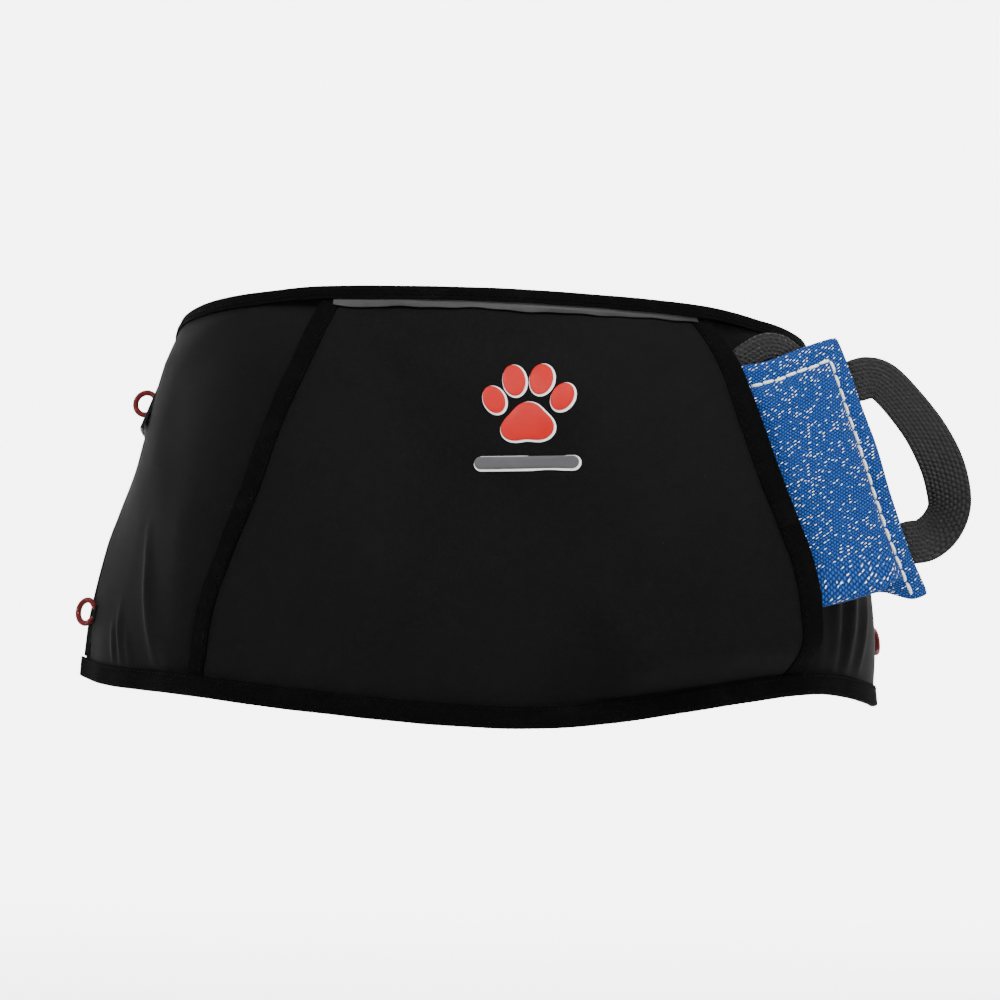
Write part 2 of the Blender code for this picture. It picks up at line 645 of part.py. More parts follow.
UP = np.array([0.0, 0.0, 1.0])


def belt_route(side, level):
    """Route of a belt half to the straight back stretch, and the direction across it."""
    rows = np.linspace(0, 1, 101)
    v = float(np.interp(0.0, -skin(side * rear_edge(rows), rows)[:, 2], rows))
    edge = float(rear_edge(v))
    places = np.linspace(edge - BELT_SEWN, edge + 3 * MM, 6)
    sewn = [wrap(side * s, v, BELT_LIFT + BELT_THICK / 2) for s in places]
    lean = skin(side * edge, v - 0.05) - skin(side * edge, v + 0.05)
    start, corner = sewn[-1], np.array([side * BACK_STRAIGHT, level, 0.0])
    pull_a = start + np.array([0.0, 0.058, 0.0])
    pull_b = corner + np.array([side * 0.045, 0.0, 0.0])
    route, across = list(sewn), [lean] * len(sewn)
    for t in np.linspace(0, 1, 17)[1:]:
        route.append(start * (1 - t) ** 3 + 3 * pull_a * t * (1 - t) ** 2
                     + 3 * pull_b * t * t * (1 - t) + corner * t ** 3)
        lean_now = lean / np.linalg.norm(lean) * (1 - ease(t * 1.3)) + UP * ease(t * 1.3)
        across.append(lean_now)
    return route, across


def fold_back(side, bar_x, level):
    """The strap's turn round a bar, and the short stretch sewn back on the wearer's side."""
    middle = level - FOLD_GAP / 2
    turn = [np.array([side * bar_x, level, 0.0])]
    for angle in np.radians(np.linspace(90, -90, 9))[1:]:
        turn.append(np.array([side * (bar_x - FOLD_GAP / 2 * math.cos(angle)),
                              middle + FOLD_GAP / 2 * math.sin(angle), 0.0]))
    return turn + [np.array([side * (bar_x + FOLD_SEWN), level - FOLD_GAP, 0.0])]


def belt_half(name, side, bar_x, level):
    route, across = belt_route(side, level)
    turn = fold_back(side, bar_x, level)
    ribbon(name, route + turn, across + [UP] * len(turn), BELT_WIDTH, BELT_THICK, BLACK_WEB, WEB_ROUGH)


def belts():
    belt_half("left_belt", -1, -SOCKET_LEFT - BAR_INSET, BACK_Y + TAIL_OFFSET)
    belt_half("right_belt", 1, ADJUSTER_RIGHT - BAR_INSET, BACK_Y)


def box(size, centre):
    work = bmesh.new()
    bmesh.ops.create_cube(work, size=1.0)
    bmesh.ops.scale(work, vec=size, verts=work.verts)
    bmesh.ops.translate(work, vec=centre, verts=work.verts)
    mesh = bpy.data.meshes.new("block")
    work.to_mesh(mesh)
    work.free()
    made = bpy.data.objects.new("block", mesh)
    bpy.context.scene.collection.objects.link(made)
    return made


def span(x0, x1, y0, y1, z0, z1):
    return box((x1 - x0, y1 - y0, z1 - z0), ((x0 + x1) / 2, (y0 + y1) / 2, (z0 + z1) / 2))


def rounded_body(name, body, edge, cuts, joins, colour, roughness):
    """A block with rounded edges, with blocks cut from it and joined to it."""
    body.name = name
    body.data.name = name
    bevel = body.modifiers.new("edges", "BEVEL")
    bevel.width = edge
    bevel.segments = 2
    for operation, others in (("DIFFERENCE", cuts), ("UNION", joins)):
        for other in others:
            other.hide_render = True
            other.display_type = "WIRE"
            step = body.modifiers.new(operation.lower(), "BOOLEAN")
            step.operation = operation
            step.solver = "EXACT"
            step.object = other
    body.data.materials.append(material(name, colour, roughness))
    return body


def strap_window(end_x, inwards, low_y, high_y):
    """Cut that opens the end of a fitting for a strap; inwards points into the fitting."""
    x0, x1 = sorted((end_x - inwards * MM, end_x + inwards * WINDOW))
    return span(x0, x1, low_y, high_y, -SLOT_HALF, SLOT_HALF)


def strap_bar(end_x, inwards, bar_y):
    """Crossbar that a strap turns round, just inside the end of a fitting."""
    x = end_x + inwards * BAR_INSET
    reach = BUCKLE_HEIGHT / 2 - 1.5 * MM
    return span(x - BAR / 2, x + BAR / 2, bar_y - BAR / 2, bar_y + BAR / 2, -reach, reach)


def buckle_socket():
    """Socket of the side-release buckle, on the middle of the back."""
    high, deep = BUCKLE_HEIGHT / 2, BUCKLE_DEPTH / 2
    hollow_left = SOCKET_LEFT + WINDOW + 2 * MM
    body = span(SOCKET_LEFT, SOCKET_RIGHT, BUCKLE_Y - deep, BUCKLE_Y + deep, -high, high)
    hollow_deep = deep - SOCKET_WALL
    cuts = [span(hollow_left, SOCKET_RIGHT + 5 * MM, BUCKLE_Y - hollow_deep,
                 BUCKLE_Y + hollow_deep, -high + SOCKET_WALL, high - SOCKET_WALL),
            strap_window(SOCKET_LEFT, 1, BUCKLE_Y - 2 * deep, BUCKLE_Y + 2 * deep)]
    for end in (-1, 1):
        z0, z1 = sorted((end * (high - 4 * MM), end * (high + 4 * MM)))
        cuts.append(span(hollow_left + 3 * MM, SOCKET_RIGHT - 9 * MM,
                         BUCKLE_Y - SOCKET_WINDOW_HALF, BUCKLE_Y + SOCKET_WINDOW_HALF, z0, z1))
    rounded_body("buckle_socket", body, BUCKLE_EDGE, cuts, [strap_bar(SOCKET_LEFT, 1, BUCKLE_Y)],
                 PLASTIC, PLASTIC_ROUGH)


def buckle_plug():
    """Plug with two side prongs and a centre tongue, and a bar for the adjustable strap."""
    high, deep = BUCKLE_HEIGHT / 2, BUCKLE_DEPTH / 2
    left = SOCKET_RIGHT + PLUG_GAP
    right = left + PLUG_LENGTH
    body = span(left, right, BUCKLE_Y - deep, BUCKLE_Y + deep, -high, high)
    cuts = [strap_window(right, -1, BUCKLE_Y - 2 * deep, BUCKLE_Y + 2 * deep)]
    joins = [strap_bar(right, -1, BUCKLE_Y)]
    prong_top = high - SOCKET_WALL - 1.0 * MM
    for end in (-1, 1):
        z0, z1 = sorted((end * prong_top, end * (prong_top - PRONG_HEIGHT)))
        joins.append(span(left - PRONG_LENGTH, left + 2 * MM, BUCKLE_Y - PRONG_DEPTH / 2,
                          BUCKLE_Y + PRONG_DEPTH / 2, z0, z1))
    joins.append(span(left - TONGUE_SHARE * PRONG_LENGTH, left + 2 * MM,
                      BUCKLE_Y - TONGUE_HALF_DEPTH, BUCKLE_Y + TONGUE_HALF_DEPTH,
                      -TONGUE_HALF_HEIGHT, TONGUE_HALF_HEIGHT))
    rounded_body("buckle_plug", body, BUCKLE_EDGE, cuts, joins, PLASTIC, PLASTIC_ROUGH)


def strap_end():
    """Adjustable strap on the plug: round its bar, through the adjuster, to a free tail."""
    bar = SOCKET_RIGHT + PLUG_GAP + PLUG_LENGTH - BAR_INSET
    level = BACK_Y + TAIL_OFFSET
    route = fold_back(1, bar, level)[::-1]
    route += [np.array([x, level, 0.0]) for x in (ADJUSTER_LEFT, ADJUSTER_RIGHT, STRAP_TAIL)]
    ribbon("strap_end", route, [UP] * len(route), BELT_WIDTH, BELT_THICK, BLACK_WEB, WEB_ROUGH)


def adjuster():
    """Slotted adjuster: the right belt turns round its bar, the strap end slides through."""
    high = BUCKLE_HEIGHT / 2
    strap_y = BACK_Y + TAIL_OFFSET
    slot = BELT_THICK / 2 + 0.5 * MM
    low_y, high_y = BACK_Y - FOLD_GAP, strap_y + slot + ADJUSTER_COVER
    block = span(ADJUSTER_LEFT, ADJUSTER_RIGHT, low_y, high_y, -high, high)
    cuts = [span(ADJUSTER_LEFT - BAR, ADJUSTER_RIGHT + BAR, strap_y - slot, strap_y + slot,
                 -SLOT_HALF, SLOT_HALF),
            span(ADJUSTER_LEFT + BAR, ADJUSTER_RIGHT - WINDOW - BAR, low_y - BAR, high_y + BAR,
                 -SLOT_HALF, SLOT_HALF),
            strap_window(ADJUSTER_RIGHT, -1, low_y - BAR, strap_y)]
    rounded_body("strap_adjuster", block, ADJUSTER_EDGE, cuts,
                 [strap_bar(ADJUSTER_RIGHT, -1, BACK_Y - FOLD_GAP / 2)], PLASTIC, PLASTIC_ROUGH)


def keeper():
    """Elastic ring that holds the strap's tail against the right belt."""
    wall = KEEPER_WALL
    low = BACK_Y - BELT_THICK / 2 - KEEPER_SLACK
    high = BACK_Y + TAIL_OFFSET + BELT_THICK / 2 + KEEPER_SLACK
    half = BELT_WIDTH / 2 + KEEPER_SLACK
    sections = []
    for a, b in ((low, -half), (high, -half), (high, half), (low, half)):
        y_out = wall if a == high else -wall
        z_out = wall if b > 0 else -wall
        sections.append([(KEEPER_AT, a, b), (KEEPER_AT + KEEPER_LENGTH, a, b),
                         (KEEPER_AT + KEEPER_LENGTH, a + y_out, b + z_out),
                         (KEEPER_AT, a + y_out, b + z_out)])
    swept_solid("strap_keeper", sections, ELASTIC, TAPE_ROUGH, closed=True)


# ---------------------------------------------------------------- bite pad pieces

def pad_frame():
    frame = bpy.data.objects.new("pad_frame", None)
    bpy.context.scene.collection.objects.link(frame)
    turn = Matrix((PAD_ALONG, PAD_UP, PAD_OUT)).transposed().to_4x4()
    frame.matrix_world = Matrix.Translation(PAD_CENTRE) @ turn
    return frame


def edge_graded(half, count):
    """Grid places from -half to half, closer together near both ends."""
    reach = math.pi / 2 * EDGE_GRADING
    return half * np.sin(np.linspace(-reach, reach, count)) / math.sin(reach)


def bite_pad(frame):
    """Two cover cloths sewn together at the rim, and the filling between them."""
    u, w = np.meshgrid(edge_graded(PAD_LENGTH / 2, 15), edge_graded(PAD_HEIGHT / 2, 13),
                       indexing="ij")
    half = pad_half(u, w)
    for name, facing in (("pad_cover_front", 1), ("pad_cover_back", -1)):
        inside = np.maximum(half - CLOTH - COVER_GAP, COVER_GAP)
        sheet_solid(name, np.stack([u, w, facing * inside], -1),
                    np.stack([u, w, facing * half], -1), TWILL_BLUE, WEB_ROUGH, frame)
    room = PAD_FLANGE + CORE_INSET
    u, w = np.meshgrid(edge_graded(PAD_LENGTH / 2 - room, 13),
                       edge_graded(PAD_HEIGHT / 2 - room, 11), indexing="ij")
    half = np.maximum(pad_half(u, w) - CLOTH - CORE_GAP, CORE_LEAST)
    sheet_solid("pad_core", np.stack([u, w, -half], -1), np.stack([u, w, half], -1),
                FELT_BROWN, TAPE_ROUGH, frame)


def side_handle(frame):
    """Webbing loop on the pad's outer end, in pad coordinates."""
    edge = PAD_LENGTH / 2 + HANDLE_GAP
    points = [(edge, 0.0395, 0), (edge + 0.006, 0.0395, 0), (edge + 0.0130, 0.035, 0.001),
              (edge + 0.0190, 0.0265, 0.003), (edge + 0.0235, 0.0145, 0.006),
              (edge + 0.0255, 0.0015, 0.0075), (edge + 0.0253, -0.0095, 0.0065),
              (edge + 0.0225, -0.0195, 0.004), (edge + 0.0155, -0.030, 0.0015),
              (edge + 0.0065, -0.037, 0), (edge, -0.037, 0)]
    across = [(0, 1, 0), (0.05, 1, 0), (0.3, 1, 0.05), (0.75, 0.75, 0.15), (0.85, 0.4, 0.4),
              (0.75, 0.05, 0.65), (0.7, -0.2, 0.7), (0.65, -0.6, 0.5), (0.45, -0.85, 0.2),
              (0.1, -1, 0), (0, -1, 0)]
    path = smooth_path(np.hstack([points, across]), HANDLE_STATIONS)
    ribbon("pad_side_handle", path[:, :3], path[:, 3:], HANDLE_WIDTH, HANDLE_THICK,
           BLACK_WEB, WEB_ROUGH, frame)


def top_handle(frame):
    """Webbing loop lying low behind the pad's top edge, in pad coordinates."""
    top = PAD_HEIGHT / 2
    route = [(0.058, -0.010), (0.053, -0.0045), (0.046, 0.0015), (0.036, 0.0035), (0.025, -0.0005),
             (0.012, -0.006), (-0.002, -0.008), (-0.018, -0.008), (-0.034, -0.008)]
    across = [(0.8, 0.7, 0), (0.7, 0.8, 0), (0.4, 0.9, 0), (0, 1, 0), (-0.3, 0.9, 0),
              (-0.25, 0.9, 0), (0, 1, 0), (0, 1, 0), (0, 1, 0)]
    points = []
    for u, rise in route:
        low = top + rise - TOP_HANDLE_WIDTH / 2
        points.append((u, top + rise, -float(pad_half(u, min(low, top))) - HANDLE_CLEAR))
    path = smooth_path(np.hstack([points, across]), TOP_HANDLE_STATIONS)
    ribbon("pad_top_handle", path[:, :3], path[:, 3:], TOP_HANDLE_WIDTH, HANDLE_THICK,
           BLACK_WEB, WEB_ROUGH, frame)


def build():
    for old in list(bpy.data.objects):
        bpy.data.objects.remove(old)
    base_panel()
    sides = {side: side_grid(side) for side in (-1, 1)}
    cloth_panel("left_side_panel", sides[-1])
    cloth_panel("right_side_panel", sides[1])
    centre = centre_grid()
    sample = panel_sampler(centre)
    cloth_panel("centre_pocket_panel", centre)
    opening_binding("left_opening_binding", centre, -1)
    opening_binding("right_opening_binding", centre, 1)
    reflective_piping(sample)
    edge_band("waist_binding", True, WAIST_BAND)
    edge_band("hem_binding", False, HEM_BAND)
    rear_binding("left_rear_binding", -1)
    rear_binding("right_rear_binding", 1)
    emblems(sample)
    cord_loops(sides)
    belts()
    buckle_socket()
    buckle_plug()
    strap_end()
    adjuster()
    keeper()
    frame = pad_frame()
    bite_pad(frame)
    side_handle(frame)
    top_handle(frame)


build()
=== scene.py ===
"""Looks of the waist training pouch: cloth panels, folded tapes, webbing, elastic loops, buckle and
the padded tug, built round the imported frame.  Metres, +Z up, the pouch's front faces -Y."""
import math

import bmesh
import bpy
import numpy as np
from mathutils import Matrix, Vector
from mathutils.bvhtree import BVHTree


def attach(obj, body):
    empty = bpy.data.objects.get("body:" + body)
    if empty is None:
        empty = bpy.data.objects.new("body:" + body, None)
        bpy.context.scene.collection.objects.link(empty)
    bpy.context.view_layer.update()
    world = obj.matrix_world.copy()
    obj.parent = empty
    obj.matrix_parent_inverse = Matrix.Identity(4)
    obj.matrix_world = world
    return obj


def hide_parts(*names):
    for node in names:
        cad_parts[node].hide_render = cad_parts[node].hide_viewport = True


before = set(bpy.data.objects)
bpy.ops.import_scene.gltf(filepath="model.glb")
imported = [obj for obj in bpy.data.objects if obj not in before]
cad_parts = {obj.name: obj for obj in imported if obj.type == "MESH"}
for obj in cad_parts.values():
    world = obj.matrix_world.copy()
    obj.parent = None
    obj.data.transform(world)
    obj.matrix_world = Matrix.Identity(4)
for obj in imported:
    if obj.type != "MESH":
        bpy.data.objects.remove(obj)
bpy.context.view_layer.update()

MM = 0.001
UP = np.array([0.0, 0.0, 1.0])
SIDE_NAMES = {-1: "left", 1: "right"}

# ---------------------------------------------------------------- the pouch's own dimensions

WAIST_HALF_WIDTH, WAIST_HALF_DEPTH = 0.1565, 0.116
HEM_HALF_WIDTH, HEM_HALF_DEPTH = 0.199, 0.149
PLAN_ROUNDNESS = 2.35
FLARE_EARLY = 0.45
REAR_EDGE_ANGLE_TOP, REAR_EDGE_ANGLE_HEM = math.radians(90), math.radians(80)
TOP_FRONT, TOP_SIDE, TOP_DROP_POWER = 0.053, 0.035, 2.6
HEM_FRONT, HEM_REAR = -0.136, -0.135
HEM_AT_SEAM = {-1: -0.131, 1: -0.121}
HEM_SEAM_SHARE = 0.58

CLOTH, TAPE = 1.0 * MM, 0.6 * MM
# Heights for the cloths' flat sizes, for places on a panel, and for places on a rear tape.
CLOTH_TALL, PANEL_TALL, REAR_TALL = 0.188, 0.186, 0.17
SIDE_LIFT, CENTRE_LIFT = 1.4 * MM, 3.8 * MM
BAND_OVER_SIDE, BAND_OVER_CENTRE = 2.8 * MM, 6.2 * MM
REAR_TAPE_LIFT = 1.4 * MM
CENTRE_HALF_TOP, CENTRE_HALF_HEM = 0.088, 0.139
SIDE_UNDERLAP = 0.021
SIDE_EDGE_INSET = 9.0 * MM
WAIST_BAND, HEM_BAND = 7.0 * MM, 8.5 * MM
STRIP_WIDTH, REAR_TAPE_WIDTH = {-1: 8.4 * MM, 1: 9.5 * MM}, 8.0 * MM
# How far the left side is drawn in at some height shares, and its rear edge turned out, in millimetres.
DRAWN_IN_HEIGHTS = (0.0, 0.12, 0.3, 0.6, 0.85, 1.0)
DRAWN_IN, EDGE_TURNED_OUT = (0.0, 0.0, 3.0, 5.5, 5.5, 7.2), 6.0
# How far each opening's edge bows away from the straight line, in millimetres at some height shares.
BOW_HEIGHTS = (0.0, 0.10, 0.18, 0.26, 0.34, 0.42, 0.50, 0.58, 0.66, 0.75, 0.83, 0.91, 1.0)
BOW = {-1: (-4.5, -1.5, -0.3, 1.5, 2.8, 3.5, 3.7, 5.3, 7.0, 8.8, 9.0, 7.6, 7.0),
       1: (-1.0, -2.0, -3.5, -5.0, -5.8, -5.6, -4.6, -2.8, -0.6, 0.8, 0.8, 0.3, 0.0)}
PIPING_SHOWS, PIPING_HIDDEN = 3.8 * MM, 2.5 * MM
TAPE_UNDER = -0.7 * MM
ZIGZAG_PITCH, ZIGZAG_HALF_WIDE = 1.5 * MM, 0.9 * MM

BELT_WIDTH, BELT_THICK = 38 * MM, 1.4 * MM
BELT_LIFT, BELT_SEWN, BOX_INSET = 2.4 * MM, 24 * MM, 4 * MM
BACK_Y, BACK_STRAIGHT = 0.108, 0.118
TAIL_OFFSET, FOLD_GAP, FOLD_SEWN = 2.4 * MM, 5.0 * MM, 14 * MM
SOCKET_LEFT, SOCKET_RIGHT = -0.040, 0.006
PLUG_GAP, PLUG_LENGTH, BAR_INSET = 0.5 * MM, 18 * MM, 2.0 * MM
ADJUSTER_LEFT, ADJUSTER_RIGHT = 0.076, 0.099
STRAP_TAIL = 0.132
KEEPER_AT, KEEPER_LENGTH = 0.103, 5 * MM

CORD_RADIUS, LOOP_RADIUS, LOOP_SPAN = 1.4 * MM, 5.2 * MM, 148
LOOP_GAP, LOOP_FOOT = 0.5 * MM, 0.3 * MM
# Each loop's side, its height and the degrees it points away from the body.
LOOPS = {"upper_left": (-1, -0.002, 82), "lower_left": (-1, -0.105, 30),
         "upper_right": (1, 0.003, 50), "lower_right": (1, -0.105, 22)}

PAD_LENGTH, PAD_HEIGHT = 0.147, 0.125
PAD_EDGE_HALF, PAD_MIDDLE_HALF = 1.4 * MM, 10.5 * MM
PAD_FLANGE, PAD_SHOULDER = 8 * MM, 30 * MM
PAD_CENTRE = np.array([0.1052, -0.1348, -0.0345])
PAD_YAW, PAD_FLARE, PAD_TILT = math.radians(16), math.radians(12), math.radians(13)
PAD_SETTLED = math.radians(1.5)
STITCH_INSET, PAD_CELL = 10.6 * MM, 2.3 * MM
COVER, COVER_HALF = 1.0 * MM, 1.2 * MM
SETTLING_FRAMES = 20
HANDLE_WIDTH, HANDLE_THICK = 20 * MM, 1.6 * MM
TOP_HANDLE_WIDTH, HANDLE_CLEAR = 14 * MM, 1.6 * MM

PAW_CENTRE_S, PAW_CENTRE_V = 0.003, 0.292


# ---------------------------------------------------------------- the wrapped surface

def unit(vectors):
    return vectors / np.linalg.norm(vectors, axis=-1, keepdims=True)


def superellipse(angle):
    """Shares of the half width and the half depth that the waist's outline reaches at an angle."""
    power = 2 / PLAN_ROUNDNESS
    sine, cosine = np.sin(angle), np.cos(angle)
    return np.sign(sine) * np.abs(sine) ** power, np.sign(cosine) * np.abs(cosine) ** power


def flare(v):
    return v * (1 + FLARE_EARLY - FLARE_EARLY * v)


def half_width(v):
    return WAIST_HALF_WIDTH + (HEM_HALF_WIDTH - WAIST_HALF_WIDTH) * flare(v)


def half_depth(v):
    return WAIST_HALF_DEPTH + (HEM_HALF_DEPTH - WAIST_HALF_DEPTH) * flare(v)


TABLE_ANGLE = np.linspace(0, math.radians(104), 2000)
TABLE_SIDE, TABLE_FRONT = superellipse(TABLE_ANGLE)


def arc_table(v):
    x, y = half_width(v) * TABLE_SIDE, half_depth(v) * TABLE_FRONT
    return np.concatenate([[0], np.cumsum(np.hypot(np.diff(x), np.diff(y)))])


ARC_SHARE = arc_table(0.5) / arc_table(0.5)[-1]
ARC_TOP, ARC_HEM = arc_table(0.0)[-1], arc_table(1.0)[-1]


def arc_length(v):
    return ARC_TOP + (ARC_HEM - ARC_TOP) * flare(v)


def rear_edge(v):
    """Distance along the body from the front centre line to the rear edge."""
    angle = REAR_EDGE_ANGLE_TOP + (REAR_EDGE_ANGLE_HEM - REAR_EDGE_ANGLE_TOP) * v
    return np.interp(angle, TABLE_ANGLE, ARC_SHARE) * arc_length(v)


def ease(t):
    t = np.clip(t, 0, 1)
    return t * t * (3 - 2 * t)


def height(share, v):
    away = np.abs(share)
    top = TOP_FRONT - (TOP_FRONT - TOP_SIDE) * away ** TOP_DROP_POWER
    seam = np.where(share > 0, HEM_AT_SEAM[1], HEM_AT_SEAM[-1])
    rising = HEM_FRONT + (seam - HEM_FRONT) * ease(away / HEM_SEAM_SHARE)
    falling = seam + (HEM_REAR - seam) * ease((away - HEM_SEAM_SHARE) / (1 - HEM_SEAM_SHARE))
    hem = np.where(away < HEM_SEAM_SHARE, rising, falling)
    return top + (hem - top) * v


def skin(s, v):
    """Point of the body at distance s from the centre line and height share v."""
    share = np.abs(s) / arc_length(v)
    x = np.sign(s) * half_width(v) * np.interp(share, ARC_SHARE, TABLE_SIDE)
    y = -half_depth(v) * np.interp(share, ARC_SHARE, TABLE_FRONT)
    return np.stack([x, y, height(s / rear_edge(v), v)], -1)


def skin_normal(s, v):
    step = 1.5 * MM
    along = skin(s + step, v) - skin(s - step, v)
    down = skin(s, v + 0.01) - skin(s, v - 0.01)
    return unit(np.cross(down, along))


def wobble(s, v):
    """Slow unevenness that every sewn layer shares, calmer beside the padded tug."""
    calm = 1 - 0.75 * ease(s / 0.06)
    slow = 0.55 * np.sin(31 * s + 4.1 * v + 0.6) + 0.40 * np.sin(57 * s - 6.3 * v + 2.0)
    low = 0.45 * np.sin(118 * s + 1.3) + 0.30 * np.sin(203 * s + 2.9)
    drawn_in = np.interp(v, DRAWN_IN_HEIGHTS, DRAWN_IN) * ease((-s - 0.10) / 0.07)
    near_edge = np.clip((-s - rear_edge(v)) / 0.045 + 1, 0, 1.1)
    turned_out = EDGE_TURNED_OUT * near_edge ** 2 * ease((v - 0.38) / 0.25)
    return MM * (calm * (slow + low * ease((v - 0.72) / 0.28)) - drawn_in + turned_out)


def wrap(s, v, lift):
    s, v, lift = np.broadcast_arrays(*(np.asarray(item, float) for item in (s, v, lift)))
    return skin(s, v) + skin_normal(s, v) * (lift + wobble(s, v))[..., None]


def tall_at(s):
    return height(s / rear_edge(0.5), 0.0) - height(s / rear_edge(0.5), 1.0)


def centre_half(v, side=0):
    """Distance from the centre line to an edge of the centre pocket: the pattern's straight
    line, or with a side given the edge as sewn, which bows."""
    straight = CENTRE_HALF_TOP + (CENTRE_HALF_HEM - CENTRE_HALF_TOP) * v
    return straight + (np.interp(v, BOW_HEIGHTS, BOW[side]) * MM if side else 0)


def centre_edge(share, v):
    """Distance for a share of the centre pocket's half width, -1 left to 1 right."""
    return share * np.where(share < 0, centre_half(v, -1), centre_half(v, 1))


# ---------------------------------------------------------------- node materials

class Signal:
    """A value inside a material; arithmetic on it adds the nodes that work it out."""

    def __init__(self, look, socket):
        self.look, self.socket = look, socket

    def math(self, operation, other=0.0):
        return self.look.node("Math", {0: self, 1: other}, operation=operation)

    def __add__(self, other):
        return self.math("ADD", other)

    def __sub__(self, other):
        return self.math("SUBTRACT", other)

    def __mul__(self, other):
        return self.math("MULTIPLY", other)

    def __truediv__(self, other):
        return self.math("DIVIDE", other)

    def __abs__(self):
        return self.math("ABSOLUTE")

    def sine(self):
        return self.math("SINE")

    def limits(self, low, high, to_low=0.0, to_high=1.0):
        return self.look.node("MapRange", {0: self, 1: low, 2: high, 3: to_low, 4: to_high})


class Look:
    """A material under construction."""

    def __init__(self, name, roughness, specular, sheen=0.0):
        self.material = bpy.data.materials.new(name)
        self.material.use_nodes = True
        self.tree = self.material.node_tree
        self.surface = self.tree.nodes["Principled BSDF"].inputs
        for key, value in {"Roughness": roughness, "Specular IOR Level": specular,
                           "Sheen Weight": sheen, "Sheen Roughness": 0.45}.items():
            self.surface[key].default_value = value

    def node(self, kind, inputs=None, output=0, **settings):
        made = self.tree.nodes.new("ShaderNode" + kind)
        for key, value in settings.items():
            setattr(made, key, value)
        for key, value in (inputs or {}).items():
            self.put(value, made.inputs[key])
        return Signal(self, made.outputs[output])

    def put(self, value, socket):
        if isinstance(value, Signal):
            self.tree.links.new(value.socket, socket)
        else:
            socket.default_value = value

    def cloth(self):
        """The cloth's own two directions, in metres."""
        place = self.node("UVMap", uv_map="cloth")
        return [self.node("SeparateXYZ", {0: place}, output) for output in (0, 1)]

    def place(self):
        return self.node("TexCoord", output="Object")

    def noise(self, scale, detail, rough):
        return self.node("TexNoise", {"Vector": self.place(), "Scale": scale, "Detail": detail,
                                      "Roughness": rough})

    def layers(self, tone, *layers):
        """A tone with each (share, colour) laid over it in turn."""
        for share, colour in layers:
            tone = self.node("Mix", {0: share, 6: tone, 7: colour}, 2, data_type="RGBA")
        return tone

    def finished(self, tone, heights, relief, strength, roughness=None):
        """The material; heights run from 0 to 1, and the relief is in metres."""
        self.put(tone, self.surface["Base Color"])
        bump = self.node("Bump", {"Height": heights, "Distance": relief, "Strength": strength})
        self.put(bump, self.surface["Normal"])
        if roughness:
            self.put(roughness, self.surface["Roughness"])
        return self.material


def grey(level):
    return (level, level, level * 1.02, 1)


def softshell():
    """Fine matt weave with brushed fibres and pale specks."""
    look = Look("black_softshell_cloth", 0.85, 0.015, sheen=0.002)
    x, y = look.cloth()
    threads = (x * 9200).sine() * (y * 9200).sine()
    fibres, patches, specks = look.noise(1500, 3, 0.65), look.noise(16, 3, 0.55), look.noise(620, 1, 0.4)
    tone = look.layers(grey(0.0020), (patches.limits(0.3, 0.7), grey(0.0034)),
                       (fibres.limits(0.35, 0.75, 0, 0.5), grey(0.0062)),
                       (specks.limits(0.80, 0.86, 0, 0.5), grey(0.024)))
    return look.finished(tone, fibres + threads.limits(-1, 1, 0, 0.35), 0.00016, 0.55,
                         patches.limits(0.3, 0.7, 0.72, 0.86))


def binding_tape():
    """Velvety knitted tape with faint lengthwise wales."""
    look = Look("black_knit_tape", 0.95, 0.01)
    x, y = look.cloth()
    wales, rows = abs((y * 3600).sine()), abs((x * 2900 + y * 2600).sine())
    fuzz, worn = look.noise(1900, 3, 0.7), look.noise(60, 4, 0.6)
    tone = look.layers(grey(0.0012), (fuzz.limits(0.4, 0.75, 0, 0.6), grey(0.0040)),
                       (worn.limits(0.55, 0.8, 0, 0.35), grey(0.0055)))
    return look.finished(tone, wales * rows + fuzz * 0.6, 0.0002, 0.7)


def reflective_tape():
    """Smudged grey tape with a fine grid of cells."""
    look = Look("grey_reflective_tape", 0.5, 0.12)
    x, y = look.cloth()
    cells, smudges = (x * 5200).sine() * (y * 5200).sine(), look.noise(95, 4, 0.6)
    tone = look.layers(grey(0.012), (smudges.limits(0.3, 0.7), grey(0.021)))
    return look.finished(tone, cells.limits(-1, 1), 0.00005, 0.6, smudges.limits(0.3, 0.7, 0.4, 0.6))


def webbing(name, low, high, rib, column):
    """Woven strap: bricks of thread in rows across the strap, each column half a step off."""
    look = Look(name, 0.6, 0.14, sheen=0.01)
    x, y = look.cloth()
    columns = y / column
    rows = x / rib + columns.math("FLOOR") * 0.5
    brick = abs((rows * math.pi).sine()) * abs((columns * math.pi).sine())
    fibres, worn = look.noise(2400, 3, 0.7), look.noise(45, 4, 0.6)
    lit = brick.math("POWER", 0.6) * fibres.limits(0.2, 0.8, 0.6, 1.2)
    tone = look.layers(grey(low), (lit, grey(high)), (worn.limits(0.55, 0.85, 0, 0.25), grey(high * 1.6)))
    return look.finished(tone, brick + fibres * 0.15, 0.0009, 0.9, fibres.limits(0.3, 0.7, 0.42, 0.66))


